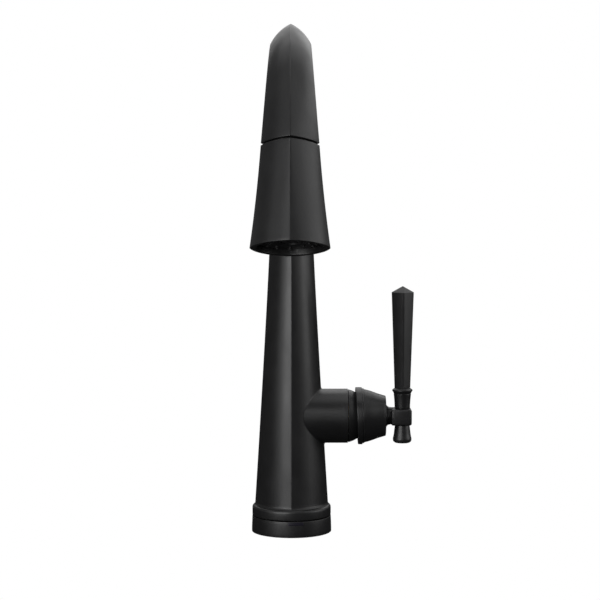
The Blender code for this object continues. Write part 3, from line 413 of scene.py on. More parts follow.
def make_hub(body, sizes, material):
    """The barrel that grows out of the column, with its fillet, and the domed cap."""
    radius = sizes.hub_radius
    probe = 0.01 * MM

    def column_x(y, z):
        shift, arc = section_arc(spout_half(body, z), spout_round(body, z))
        return math.sqrt(arc ** 2 - (abs(y) + shift) ** 2) - shift

    def fillet(step):
        """Start, control and end of the fillet at one place round the barrel, as (x, radius)."""
        turned = 2.0 * math.pi * step / ACROSS
        y, z = math.cos(turned), math.sin(turned)
        foot = column_x(radius * y, PIVOT.z + radius * z)
        slope = (column_x((radius + probe) * y, PIVOT.z + (radius + probe) * z) - foot) / probe
        lean = math.atan2(1.0, slope)
        reach = sizes.fillet / math.tan(lean / 2.0)
        out = radius + reach * math.sin(lean)
        start = Vector((column_x(out * y, PIVOT.z + out * z), out))
        return start, Vector((foot, radius)), Vector((foot + reach, radius))

    def ring(points):
        placed = []
        for step, (x, reach) in enumerate(points):
            turned = 2.0 * math.pi * step / ACROSS
            placed.append(Vector((x, reach * math.cos(turned), PIVOT.z + reach * math.sin(turned))))
        return placed

    roots = [fillet(step) for step in range(ACROSS)]
    level = [(0.0, 0.0)] * ACROSS
    rings = [ring(level), ring([(2.0 * MM, 0.6 * radius)] * ACROSS)]
    rings.append(ring([(start.x - 1.2 * MM, start.y) for start, _, _ in roots]))
    for share in steps_between(0.0, 1.0, 10):
        rings.append(ring([bowed(*root, share) for root in roots]))
    rings.append(ring([((root[2].x + sizes.hub_end) / 2.0, radius) for root in roots]))
    end = eased([(radius, sizes.hub_end - 3.0 * MM, 0.0), (radius, sizes.hub_end, 0.3 * MM),
                 (radius - 2.5 * MM, sizes.hub_end, 0.0), (0.0, sizes.hub_end - 0.5 * MM, 0.0)])
    rings += [ring([(x, reach)] * ACROSS) for reach, x in end]
    solid = bmesh.new()
    skin(solid, rings)
    finished("hub_barrel", solid, "spout", material, "matte_black", "spout_body")

    solid = bmesh.new()
    seam = sizes.hub_end + 0.35 * MM - PIVOT.x
    dome = sizes.dome_radius
    inside = dome - 2.6 * MM
    opening = math.radians(37.0)
    outer = [(dome * math.sin(a), dome * math.cos(a), 0.0)
             for a in steps_between(opening, math.acos((seam + 0.3 * MM) / dome), 22)]
    hollow = [(inside * math.sin(a), inside * math.cos(a), 0.0)
              for a in steps_between(math.radians(62.0), opening, 12)]
    outline = outer + [(dome * math.sin(math.acos(seam / dome)), seam, 0.3 * MM), (hollow[0][0], seam, 0.0)]
    turn(solid, eased(outline + hollow, closed=True), closed=True, place=HUB_FRAME)
    finished("hub_dome", solid, "spout", material, "matte_black", "dome_cap")


# Base and counter mounting

def make_base(sizes, black, glass, rubber):
    """The fixed ring with its indicator window, and the gasket under it."""
    window_turn = math.radians(6.3)
    steps = 110
    wide = 7
    low = sizes.base_top - 3.0 * MM
    high = sizes.base_top - 0.4 * MM
    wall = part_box("base_gasket")[1].x + 0.3 * MM
    outline = eased([
        (24.3 * MM, 2.4 * MM, 0.0),
        (24.3 * MM, sizes.base_top - 1.2 * MM, 0.0),
        (26.0 * MM, sizes.base_top, 0.4 * MM),
        (sizes.foot_radius, sizes.base_top, 0.4 * MM),
        (sizes.foot_radius + 0.02 * MM, high, 0.0),
        (sizes.foot_radius + 0.14 * MM, low, 0.0),
        (sizes.base_radius, 3.0 * MM, 0.0),
        (sizes.base_radius, 0.0, 0.2 * MM),
        (wall, 0.0, 0.3 * MM),
        (wall, 1.6 * MM, 0.0),
        (25.0 * MM, 1.6 * MM, 0.0),
        (25.0 * MM, 0.0, 0.3 * MM),
        (17.0 * MM, 0.0, 0.3 * MM),
        (17.0 * MM, 2.4 * MM, 0.0),
    ], closed=True)
    solid = bmesh.new()
    half_face = math.pi / steps
    front = Matrix.Rotation(window_turn - math.pi / 2.0 - half_face, 4, "Z")
    turn(solid, outline, closed=True, steps=steps, place=front)
    middle = Vector((math.sin(window_turn), -math.cos(window_turn), 0.0))
    chosen = []
    for face in solid.faces:
        centre = face.calc_center_median()
        aside = centre.xy.normalized().angle(middle.xy)
        if centre.xy.length > 30.0 * MM and low < centre.z < high and aside < wide * half_face:
            chosen.append(face)
    sink(solid, chosen, -1.3 * MM * middle)
    finished("foot_ring", solid, "base", black, "matte_black", "base_ring")

    solid = bmesh.new()
    gap = 0.07 * MM

    def pane(u, v):
        angle = window_turn - math.pi / 2.0 + u * (wide * half_face - gap / sizes.base_radius)
        height = (high + low) / 2.0 + v * ((high - low) / 2.0 - gap)
        radius = sizes.foot_radius + (high - height) * 0.045
        return Vector((radius * math.cos(angle), radius * math.sin(angle), height))

    patch(solid, 14, 6, pane)
    thicken(solid, -1.1 * MM * middle)
    round_edges(solid, [edge for edge in solid.edges if edge.calc_face_angle(0.0) > 1.0], 0.15 * MM)
    finished("indicator_window", solid, "base", glass, "lens", "indicator_lens")

    low_corner, high_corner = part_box("base_gasket")
    solid = bmesh.new()
    turn(solid, eased([
        (high_corner.x, high_corner.z, 0.3 * MM),
        (high_corner.x, low_corner.z, 0.4 * MM),
        (25.3 * MM, low_corner.z, 0.4 * MM),
        (25.3 * MM, high_corner.z, 0.3 * MM),
    ], closed=True), closed=True)
    finished("foot_gasket", solid, "base", rubber, "rubber", "base_gasket")


def make_counter_hardware(brass, steel, rubber):
    """The threaded shank with the gasket, washer and nut that clamp it under a counter."""
    low_corner, high_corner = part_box("mounting_shank")
    flange = high_corner.y
    thread = 16.2 * MM
    root = thread - 0.75 * MM
    pitch = 1.5 * MM
    solid = bmesh.new()
    turn(solid, eased([
        (17.7 * MM, high_corner.z, 0.5 * MM),
        (17.7 * MM, 33.7 * MM, 0.0),
        (16.7 * MM, 33.7 * MM, 0.0),
        (16.7 * MM, 31.7 * MM, 0.0),
        (17.7 * MM, 31.7 * MM, 0.0),
        (17.7 * MM, 8.0 * MM, 0.4 * MM),
        (flange, 8.0 * MM, 0.5 * MM),
        (flange, 2.7 * MM, 0.4 * MM),
        (root, 2.7 * MM, 0.3 * MM),
        (root, low_corner.z, 0.8 * MM),
        (13.3 * MM, low_corner.z, 0.6 * MM),
        (13.3 * MM, high_corner.z, 0.6 * MM),
    ], closed=True), closed=True)
    start = low_corner.z + 1.6 * MM
    turns = int((2.0 * MM - start) / pitch)
    tooth = [(root - 0.3 * MM, -0.7 * MM), (thread - 0.1 * MM, -0.15 * MM), (thread - 0.1 * MM, 0.15 * MM),
             (root - 0.3 * MM, 0.7 * MM)]
    corners = [solid.verts.new((radius, 0.0, start + height)) for radius, height in tooth]
    loop = [solid.edges.new(pair) for pair in zip(corners, corners[1:] + corners[:1])]
    bmesh.ops.contextual_create(solid, geom=loop)
    wound = bmesh.ops.spin(solid, geom=corners + loop, cent=(0.0, 0.0, 0.0), axis=(0.0, 0.0, 1.0),
                           dvec=(0.0, 0.0, pitch / FINE), angle=2.0 * math.pi * turns,
                           steps=FINE * turns, use_merge=False)["geom_last"]
    last = [item for item in wound if isinstance(item, bmesh.types.BMEdge)]
    bmesh.ops.contextual_create(solid, geom=last)
    finished("threaded_shank", solid, "base", brass, "brass", "mounting_shank")

    bore = thread + 0.3 * MM
    for name, node, material, slot, rounding in (
        ("counter_gasket", "clamp_gasket", rubber, "rubber", 0.4 * MM),
        ("counter_washer", "clamp_washer", steel, "steel", 0.35 * MM),
    ):
        low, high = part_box(node)
        solid = bmesh.new()
        turn(solid, eased([(high.y, high.z, rounding), (high.y, low.z, rounding), (bore, low.z, rounding),
                           (bore, high.z, rounding)], closed=True), closed=True)
        finished(name, solid, "base", material, slot, node)

    low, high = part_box("mounting_nut")
    flat = (high.y - low.y) / 2.0
    flat = min(flat, 25.0 * MM * math.cos(math.pi / 6.0))

    def hexagon(limit, height):
        ring = []
        for step in range(ACROSS):
            angle = 2.0 * math.pi * step / ACROSS
            lean = (angle + math.pi / 6.0) % (math.pi / 3.0) - math.pi / 6.0
            lean = math.pi / 6.0 - abs(lean) if high.x > high.y else abs(lean)
            reach = min(limit, flat / math.cos(lean))
            ring.append(Vector((reach * math.cos(angle), reach * math.sin(angle), height)))
        return ring

    corner = flat / math.cos(math.pi / 6.0)
    heights = ((bore, high.z - 0.8 * MM), (bore + 0.8 * MM, high.z), (flat - 0.3 * MM, high.z),
               (corner - 1.0 * MM, high.z - 0.9 * MM), (corner, high.z - 2.2 * MM),
               (corner, low.z + 2.2 * MM), (corner - 1.0 * MM, low.z + 0.9 * MM),
               (flat - 0.3 * MM, low.z), (bore + 0.8 * MM, low.z), (bore, low.z + 0.8 * MM))
    solid = bmesh.new()
    rings = [hexagon(limit, height) for limit, height in heights]
    skin(solid, rings + [rings[0]])
    finished("hex_nut", solid, "base", brass, "brass", "mounting_nut")


# Handle

def make_skirt(sizes, material, steel):
    """The slanted ring and the bonnet, which turns four-sided towards the lever."""
    hollow = sizes.dome_radius + 0.4 * MM
    start = sizes.skirt_start - PIVOT.x
    step_down = sizes.skirt_step - PIVOT.x
    end = sizes.bonnet_end - PIVOT.x
    lip = math.acos(start / hollow)
    slant = math.tan(math.radians(2.7))
    small_slant = 0.011

    def ring(radius, height, lean, roundness=1.0):
        points = []
        for step in range(ACROSS):
            corner = section_point(step / ACROSS, radius, roundness)
            corner = Matrix.Rotation(math.pi / 4.0, 2) @ corner
            points.append(HUB_FRAME @ Vector((corner.x, corner.y, height + lean * corner.x)))
        return points

    rings = [ring(hollow * math.sin(a), hollow * math.cos(a), slant * math.sin(a))
             for a in steps_between(0.0, lip, 16)]
    radius = sizes.skirt_radius
    band = eased([
        (hollow * math.sin(lip), start, 0.0),
        (radius, start, 0.55 * MM),
        (radius, start + 1.5 * MM, 0.0),
    ])[1:]
    rings += [ring(r, h, slant) for r, h in band]
    step_line = eased([
        (radius, step_down - 1.5 * MM, 0.0),
        (radius, step_down, 0.45 * MM),
        (22.1 * MM, step_down, 0.0),
    ])
    rings += [ring(r, h, small_slant) for r, h in step_line]
    bead = [(22.05 * MM, 0.1 * MM), (22.1 * MM, 0.3 * MM), (22.05 * MM, 1.2 * MM), (21.9 * MM, 1.45 * MM),
            (21.5 * MM, 1.6 * MM)]
    bonnet = bead + [(21.4 * MM, 1.9 * MM), (20.8 * MM, 4.4 * MM), (20.05 * MM, 6.9 * MM),
                     (19.15 * MM, 9.4 * MM), (18.25 * MM, 11.8 * MM), (17.45 * MM, 14.2 * MM),
                     (16.75 * MM, 16.6 * MM), (16.35 * MM, 18.0 * MM)]
    panel_start = sizes.panel_start - PIVOT.x
    for r, drop in bonnet:
        height = step_down + drop
        share = smooth_step(height, panel_start, end)
        swell = 1.0 / (1.0 - (1.0 - sizes.panel_round) * share)
        rings.append(ring(r * swell, height, small_slant * (1.0 - min(1.0, drop / (6.0 * MM))),
                          1.0 - (1.0 - sizes.panel_round) * share))
    rim = eased([(16.25 * MM, end - 0.8 * MM, 0.0), (16.1 * MM, end, 0.4 * MM), (9.0 * MM, end, 0.0),
                 (0.0, end - 0.2 * MM, 0.0)])
    rings += [ring(r / sizes.panel_round, h, 0.0, sizes.panel_round) for r, h in rim[:-2]]
    rings += [ring(r, h, 0.0) for r, h in rim[-2:]]
    solid = bmesh.new()
    skin(solid, rings)
    finished("skirt_bonnet", solid, "handle", material, "matte_black", "handle_skirt")

    low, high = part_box("handle_set_screw")
    middle = (low + high) / 2.0
    reach = (high.x - low.x) / 2.0
    socket = 0.5 * reach
    solid = bmesh.new()
    place = Matrix.Translation((middle.x, middle.y, low.z)) @ Matrix.Rotation(math.pi, 4, "X")
    turn(solid, eased([(0.0, -(high.z - low.z), 0.0), (reach, -(high.z - low.z), 0.3 * MM),
                       (reach, 0.0, 0.3 * MM), (socket, 0.0, 0.15 * MM), (socket, -1.6 * MM, 0.0),
                       (0.0, -1.8 * MM, 0.0)]), steps=24, place=place)
    finished("grub_screw", solid, "handle", steel, "steel", "handle_set_screw")


def make_lever(sizes, material):
    """Cross block with its neck, ferrule, faceted bar and finial."""
    low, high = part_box("handle_tee")
    low.z = sizes.block_low
    high.z = sizes.block_high
    block_start = 80.0 * MM
    solid = bmesh.new()
    extent = Vector((high.x - block_start, high.y - low.y, high.z - low.z))
    centre = Vector(((high.x + block_start) / 2.0, 0.0, (high.z + low.z) / 2.0))
    place = Matrix.Translation(centre) @ Matrix.Diagonal((*extent, 1.0))
    bmesh.ops.create_cube(solid, size=1.0, matrix=place)
    round_edges(solid, list(solid.edges), 1.7 * MM, 5)
    base = sizes.bonnet_end + 0.3 * MM - PIVOT.x
    turn(solid, eased([
        (0.0, base, 0.0),
        (8.8 * MM, base, 0.4 * MM),
        (8.8 * MM, base + 0.5 * MM, 0.2 * MM),
        (7.3 * MM, base + 1.6 * MM, 1.0 * MM),
        (6.85 * MM, base + 5.0 * MM, 0.0),
        (0.0, base + 6.0 * MM, 0.0),
    ]), steps=FINE, place=HUB_FRAME)
    finished("cross_block", solid, "handle", material, "matte_black", "handle_tee")

    low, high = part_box("lever_ferrule")
    top = high.z
    solid = bmesh.new()
    turn(solid, eased([
        (0.0, low.z, 0.0),
        (6.2 * MM, low.z, 0.25 * MM),
        (6.3 * MM, low.z + 3.5 * MM, 2.0 * MM),
        (6.6 * MM, top - 8.4 * MM, 2.0 * MM),
        (6.98 * MM, top - 4.75 * MM, 0.15 * MM),
        (6.72 * MM, top - 4.5 * MM, 0.1 * MM),
        (7.0 * MM, top - 4.2 * MM, 0.15 * MM),
        (7.35 * MM, top - 3.2 * MM, 0.8 * MM),
        (8.2 * MM, top - 2.3 * MM, 0.5 * MM),
        (8.15 * MM, top - 1.3 * MM, 0.5 * MM),
        (6.7 * MM, top - 0.4 * MM, 0.5 * MM),
        (6.35 * MM, top, 0.1 * MM),
        (0.0, top, 0.0),
    ]), steps=72, place=LEVER_FRAME)
    finished("ferrule", solid, "handle", material, "matte_black", "lever_ferrule")

    def ring(half, height, flat):
        shift, arc = section_arc(half, sizes.lever_round)
        start = math.asin((flat + shift) / arc)
        grown = half / (arc * math.cos(start) - shift)
        points = []
        for side in range(4):
            quarter = Matrix.Rotation(side * math.pi / 2.0, 2)
            for angle in steps_between(start, math.pi / 2.0 - start, 8):
                corner = quarter @ Vector((arc * math.cos(angle) - shift, arc * math.sin(angle) - shift))
                corner *= grown
                points.append(Vector((LEVER_X + corner.x, corner.y, height)))
        return points

    solid = bmesh.new()
    foot = top + 0.3 * MM
    span = sizes.lever_shoulder - foot
    levels = [(sizes.lever_foot + (sizes.lever_head - sizes.lever_foot) * share, foot + span * share)
              for share in steps_between(0.0, 1.0, 12)]
    rings = [ring(half, height, sizes.lever_flat) for half, height in levels]
    tip = 0.35 * MM
    for share in (0.35, 0.7, 1.0):
        half = sizes.lever_head + (tip - sizes.lever_head) * share
        height = sizes.lever_shoulder + (sizes.lever_tip - sizes.lever_shoulder) * share
        rings.append(ring(half, height, sizes.lever_flat * half / sizes.lever_head))
    crown = [Vector((LEVER_X, 0.0, sizes.lever_tip))] * len(rings[0])
    root = [Vector((LEVER_X, 0.0, foot))] * len(rings[0])
    skin(solid, [root] + rings + [crown])
    bar = finished("lever_bar", solid, "handle", material, "matte_black", "lever", sharp=math.radians(15.0))
    soft = bar.modifiers.new("edge_rounding", "BEVEL")
    soft.width = 0.16 * MM
    soft.segments = 2
    soft.limit_method = "ANGLE"
    soft.angle_limit = math.radians(16.0)
    soft.harden_normals = False

    low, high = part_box("lever_finial")
    bottom = low.z
    seat = sizes.block_low - 0.3 * MM
    solid = bmesh.new()
    turn(solid, eased([
        (0.0, seat, 0.0),
        (5.9 * MM, seat, 0.25 * MM),
        (6.5 * MM, bottom + 9.8 * MM, 2.0 * MM),
        (6.8 * MM, bottom + 6.6 * MM, 1.5 * MM),
        (7.6 * MM, bottom + 3.2 * MM, 0.8 * MM),
        (7.35 * MM, bottom + 1.3 * MM, 0.6 * MM),
        (5.8 * MM, bottom, 0.7 * MM),
        (0.0, bottom, 0.0),
    ]), steps=72, place=LEVER_FRAME)
    finished("finial", solid, "handle", material, "matte_black", "lever_finial")


# Spray head and hose

def head_half(sizes, down):
    return sizes.top_half + sizes.taper * down + sizes.flare * down * down


def head_round(sizes, down):
    return sizes.top_round + (sizes.end_round - sizes.top_round) * down / sizes.length


def head_point(sizes, turned, down, inset=0.0):
    corner = section_point(turned % 1.0, head_half(sizes, down) - inset, head_round(sizes, down))
    return HEAD_FRAME @ Vector((corner.x, corner.y, -down))


def head_ring(sizes, down, inset=0.0):
    return [head_point(sizes, step / ACROSS, down, inset) for step in range(ACROSS)]


def head_circle(sizes, radius, down):
    points = []
    for step in range(ACROSS):
        corner = section_point(step / ACROSS, head_half(sizes, down), head_round(sizes, down)).normalized()
        points.append(HEAD_FRAME @ Vector((radius * corner.x, radius * corner.y, -down)))
    return points


def make_head(sizes, black, plastic):
    """The head's shell, open at both ends, and the mode button set into its back."""
    lip = 0.7 * MM
    rings = [head_circle(sizes, radius, down) for radius, down in eased([
        (8.0 * MM, 6.0 * MM, 0.0), (8.0 * MM, 4.2 * MM, 0.3 * MM), (13.2 * MM, 4.2 * MM, 0.0),
        (13.2 * MM, sizes.gap, 0.3 * MM), (15.0 * MM, sizes.gap, 0.0)])]
    for share in (1.0, 0.85, 0.6, 0.3):
        dip = lip * (1.0 - math.sqrt(1.0 - share * share))
        rings.append(head_ring(sizes, sizes.gap + lip * (1.0 - share), dip))
    ridge_start = len(rings)
    rows = steps_between(sizes.gap + lip, sizes.button_top, 10)
    rows += steps_between(sizes.button_top, sizes.button_low, 12)[1:]
    rows += steps_between(sizes.button_low, sizes.length - sizes.edge, 16)[1:]
    rings += [head_ring(sizes, down) for down in rows]
    ridge_end = len(rings)
    for share in steps_between(0.0, 1.0, 5)[1:]:
        angle = share * math.pi / 2.0
        rings.append(head_ring(sizes, sizes.length - sizes.edge * (1.0 - math.sin(angle)),
                               sizes.edge * (1.0 - math.cos(angle))))
    floor = sizes.length - sizes.recess_depth
    mouth = eased([(sizes.recess_radius + 1.0 * MM, sizes.length, 0.0),
                   (sizes.recess_radius, sizes.length - 0.05 * MM, 0.8 * MM),
                   (sizes.recess_radius, floor, 0.0)])
    rings += [head_circle(sizes, radius, down) for radius, down in mouth]
    rings += [head_ring(sizes, down, sizes.wall) for down in steps_between(floor - 0.4 * MM, 8.0 * MM, 12)]
    rings.append(head_circle(sizes, 8.0 * MM, 6.0 * MM))
    solid = bmesh.new()
    skin(solid, rings, range(ridge_start, ridge_end))

    columns = 4
    inward = HEAD_FRAME.to_3x3() @ Vector((0.0, -1.0, 0.0))
    local = HEAD_FRAME.inverted()
    chosen = []
    for face in solid.faces:
        spot = local @ face.calc_center_median()
        turned = abs(math.atan2(spot.x, spot.y)) / (2.0 * math.pi)
        outside = spot.y > head_half(sizes, -spot.z) - 1.5 * MM
        if outside and turned < (columns - 0.4) / ACROSS and sizes.button_top < -spot.z < sizes.button_low:
            chosen.append(face)
    sink(solid, chosen, inward * 1.8 * MM)
    ridges = [edge for edge in solid.edges if edge.seam and edge.calc_face_angle(0.0) < 1.2]
    round_edges(solid, ridges, 0.45 * MM)
    finished("head_skin", solid, "spray_head", black, "matte_black", "head_shell")

    solid = bmesh.new()
    middle = (sizes.button_top + sizes.button_low) / 2.0
    reach = (sizes.button_low - sizes.button_top) / 2.0 - sizes.button_gap

    def crown(u, v):
        down = middle - v * reach
        share = columns / ACROSS - sizes.button_gap / (2.0 * math.pi * head_half(sizes, down))
        point = head_point(sizes, 0.25 - u * share, down)
        return point - inward * sizes.button_proud

    patch(solid, 12, 18, crown)
    thicken(solid, inward * 2.0 * MM)
    round_edges(solid, [edge for edge in solid.edges if edge.calc_face_angle(0.0) > 1.0], 0.35 * MM)
    finished("mode_pad", solid, "mode_button", plastic, "black_plastic", "mode_button")


def make_dock(sizes, plastic, steel, brass):
    """The socket in the spout's end with its ring magnet, and the head's docking parts."""
    solid = bmesh.new()
    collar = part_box("dock_collar")[1].x
    bore = 9.4 * MM
    low = 0.4 * MM
    high = 14.0 * MM
    lip = 0.12 * MM - sizes.gap
    turn(solid, eased([
        (collar, high, 0.4 * MM),
        (collar, lip, 0.3 * MM),
        (13.2 * MM, lip, 0.2 * MM),
        (13.2 * MM, low + 5.0 * MM, 0.0),
        (10.3 * MM, low + 5.0 * MM, 0.0),
        (10.3 * MM, low, 0.2 * MM),
        (bore, low, 0.6 * MM),
        (bore, high, 0.8 * MM),
    ], closed=True), closed=True, place=HEAD_FRAME)
    finished("socket_collar", solid, "spout", plastic, "black_plastic", "dock_collar")

    solid = bmesh.new()
    turn(solid, eased([
        (12.9 * MM, low + 4.7 * MM, 0.2 * MM),
        (12.9 * MM, low + 0.3 * MM, 0.25 * MM),
        (10.6 * MM, low + 0.3 * MM, 0.25 * MM),
        (10.6 * MM, low + 4.7 * MM, 0.2 * MM),
    ], closed=True), closed=True, place=HEAD_FRAME)
    finished("ring_magnet", solid, "spout", steel, "steel", "dock_magnet")

    solid = bmesh.new()
    top = -sizes.gap - 0.3 * MM
    turn(solid, eased([
        (12.9 * MM, top, 0.3 * MM),
        (12.9 * MM, -3.9 * MM, 0.0),
        (9.6 * MM, -3.9 * MM, 0.0),
        (9.6 * MM, top, 0.5 * MM),
    ], closed=True), closed=True, place=HEAD_FRAME)
    finished("docking_ring", solid, "spray_head", steel, "steel", "head_dock_ring")

    solid = bmesh.new()
    grooves = []
    for height in (0.2 * MM, 1.4 * MM):
        grooves += [(8.9 * MM, height - 0.25 * MM, 0.1 * MM), (8.5 * MM, height, 0.1 * MM),
                    (8.9 * MM, height + 0.25 * MM, 0.1 * MM)]
    turn(solid, eased([
        (3.5 * MM, -16.0 * MM, 0.4 * MM),
        (7.4 * MM, -16.0 * MM, 0.6 * MM),
        (7.4 * MM, -1.6 * MM, 0.2 * MM),
        (8.9 * MM, -1.0 * MM, 0.3 * MM),
        *grooves,
        (8.9 * MM, 2.3 * MM, 0.8 * MM),
        (6.4 * MM, 10.6 * MM, 1.2 * MM),
        (5.4 * MM, FERRULE_TOP, 0.3 * MM),
        (3.5 * MM, FERRULE_TOP, 0.3 * MM),
    ], closed=True), closed=True, steps=FINE, place=HEAD_FRAME)
    finished("hose_ferrule", solid, "hose_end", brass, "brass", "hose_coupling")


def make_spray_face(sizes, plastic, rubber):
    """Spray plate, rings of nozzles and the aerator with its screen."""
    plate_low = 3.7 * MM - sizes.length
    plate_top = plate_low + 4.5 * MM
    rim = 22.9 * MM
    centre = 8.2 * MM
    ring_sizes = ((18.0 * MM, 12), (13.2 * MM, 8))
    places = [(radius, 2.0 * math.pi * index / count) for radius, count in ring_sizes for index in range(count)]
    spots = [(radius * math.cos(angle), radius * math.sin(angle)) for radius, angle in places]
    solid = bmesh.new()
    turn(solid, eased([
        (rim, plate_top, 0.2 * MM),
        (rim, plate_low + 0.6 * MM, 0.5 * MM),
        (rim - 1.4 * MM, plate_low + 0.5 * MM, 0.3 * MM),
        (rim - 2.2 * MM, plate_low, 0.5 * MM),
        (centre + 1.8 * MM, plate_low, 0.5 * MM),
        (centre + 0.9 * MM, plate_low + 0.7 * MM, 0.3 * MM),
        (centre, plate_low + 0.7 * MM, 0.2 * MM),
        (centre, plate_top, 0.2 * MM),
    ], closed=True), closed=True, place=HEAD_FRAME)
    for x, y in spots:
        boss = eased([(sizes.nozzle_radius + 0.1 * MM, plate_low + 0.5 * MM, 0.0),
                      (sizes.nozzle_radius + 1.0 * MM, plate_low + 0.5 * MM, 0.0),
                      (sizes.nozzle_radius + 0.7 * MM, plate_low - 0.25 * MM, 0.2 * MM),
                      (sizes.nozzle_radius + 0.1 * MM, plate_low - 0.1 * MM, 0.1 * MM)], closed=True, steps=2)
        turn(solid, boss, closed=True, steps=20, place=HEAD_FRAME @ Matrix.Translation((x, y, 0.0)))
    finished("spray_plate", solid, "spray_head", plastic, "black_plastic", "spray_face")

    solid = bmesh.new()
    for x, y in spots:
        nub = eased([(0.0, plate_top, 0.0), (sizes.nozzle_radius, plate_top, 0.0),
                     (sizes.nozzle_radius - 0.1 * MM, plate_low - 0.9 * MM, 0.35 * MM),
                     (0.35 * MM, plate_low - 0.85 * MM, 0.1 * MM), (0.3 * MM, plate_low + 0.6 * MM, 0.0),
                     (0.0, plate_low + 0.8 * MM, 0.0)], steps=3)
        turn(solid, nub, steps=16, place=HEAD_FRAME @ Matrix.Translation((x, y, 0.0)))
    sheet_low = plate_top + 0.3 * MM
    sheet_top = plate_top + 3.4 * MM
    sheet = [(20.6 * MM, sheet_top, 0.2 * MM), (20.6 * MM, sheet_low, 0.2 * MM),
             (8.4 * MM, sheet_low, 0.2 * MM), (8.4 * MM, sheet_top, 0.2 * MM)]
    turn(solid, eased(sheet, closed=True), closed=True, place=HEAD_FRAME)
    finished("nozzles", solid, "spray_head", rubber, "rubber", "nozzle_mat")

    solid = bmesh.new()
    outer = 7.9 * MM
    inner = 6.6 * MM
    lip = plate_low + 0.3 * MM
    mesh_level = lip + 2.0 * MM
    turn(solid, eased([(0.0, lip + 9.0 * MM, 0.0), (outer, lip + 9.0 * MM, 0.3 * MM), (outer, lip, 0.5 * MM),
                       (inner, lip, 0.4 * MM), (inner, mesh_level, 0.0), (0.0, mesh_level, 0.0)]),
         steps=FINE, place=HEAD_FRAME)
    bar_depth = 1.4 * MM
    for index in range(-5, 6):
        offset = index * 1.15 * MM
        span = 2.0 * math.sqrt(max(0.0, (inner + 0.3 * MM) ** 2 - offset ** 2))
        for quarter in (0.0, math.pi / 2.0):
            place = HEAD_FRAME @ Matrix.Rotation(quarter, 4, "Z")
            place = place @ Matrix.Translation((0.0, offset, mesh_level - 0.3 * bar_depth))
            bar = Matrix.Diagonal((span, 0.28 * MM, bar_depth, 1.0))
            bmesh.ops.create_cube(solid, size=1.0, matrix=place @ bar)
    finished("aerator_screen", solid, "spray_head", plastic, "black_plastic", "aerator")


def make_hose(body, sizes, material):
    """The braided hose, from under the counter to its coupling, as a long piece on the spout and a separate end
    piece.
    """
    hose_stop = FERRULE_TOP + 1.1 * MM
    end = spout_length(body) - hose_stop
    free = spout_length(body) - sizes.hose_free - 2.0 * MM
    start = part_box("spray_hose")[0].z

    def centre(distance):
        spot = spout_frame(body, distance)[0]
        return spot + Vector((sizes.hose_shift * (1.0 - smooth_step(distance, 0.125, 0.225)), 0.0, 0.0))

    def ring(distance, radius):
        nearby = 0.5 * MM
        onward = (centre(distance + nearby) - centre(distance - nearby)).normalized()
        aside = (Vector((1.0, 0.0, 0.0)) - onward * onward.x).normalized()
        across = onward.cross(aside)
        turns = [2.0 * math.pi * step / 24 for step in range(24)]
        return [centre(distance) + radius * (aside * math.cos(a) + across * math.sin(a)) for a in turns]

    def length(low, high, count):
        solid = bmesh.new()
        skin(solid, [ring(low, 0.0)] + [ring(distance, sizes.hose_radius) for distance in
                                        steps_between(low, high, count)] + [ring(high, 0.0)])
        return solid

    finished("braided_hose", length(start, free, 180), "spout", material, "hose", "spray_hose")
    solid = length(free - 0.5 * MM, end, 90)
    bmesh.ops.remove_doubles(solid, verts=solid.verts, dist=MERGE)
    bmesh.ops.recalc_face_normals(solid, faces=solid.faces)
    mesh = bpy.data.meshes.new("hose_tail")
    solid.to_mesh(mesh)
    solid.free()
    mesh.shade_smooth()
    mesh.materials.append(material)
    tail = bpy.data.objects.new("hose_tail", mesh)
    bpy.context.scene.collection.objects.link(tail)
    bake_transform(tail)
    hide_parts("spray_hose")


# Finishes

def feed(tree, socket, value):
    """Link another node's output to a socket, or set the socket to a plain value."""
    if isinstance(value, bpy.types.NodeSocket):
        tree.links.new(value, socket)
    else:
        socket.default_value = value


def add(tree, kind, settings=None, **inputs):
    """Add a node; an input is a value or another node's output, with underscores for spaces."""
    made = tree.nodes.new(kind)
    for name, value in (settings or {}).items():
        setattr(made, name, value)
    for name, value in inputs.items():
        feed(tree, made.inputs[int(name[1:]) if name[0] == "_" else name.replace("_", " ")], value)
    return made


def computed(tree, operation, *values):
    """A Math node's result."""
    made = add(tree, "ShaderNodeMath", {"operation": operation})
    for socket, value in zip(made.inputs, values):
        feed(tree, socket, value)
    return made.outputs["Value"]


def new_group(name, inputs, outputs):
    """A shader node group with named float inputs and outputs; returns it, its input node and a finisher."""
    tree = bpy.data.node_groups.new(name, "ShaderNodeTree")
    for label, default in inputs:
        socket = tree.interface.new_socket(label, in_out="INPUT", socket_type="NodeSocketFloat")
        socket.default_value = default
    for label in outputs:
        tree.interface.new_socket(label, in_out="OUTPUT", socket_type="NodeSocketFloat")
    entry = tree.nodes.new("NodeGroupInput")
    leave = tree.nodes.new("NodeGroupOutput")

    def give(**results):
        for label, socket in results.items():
            tree.links.new(socket, leave.inputs[label.replace("_", " ")])

    return tree, entry.outputs, give


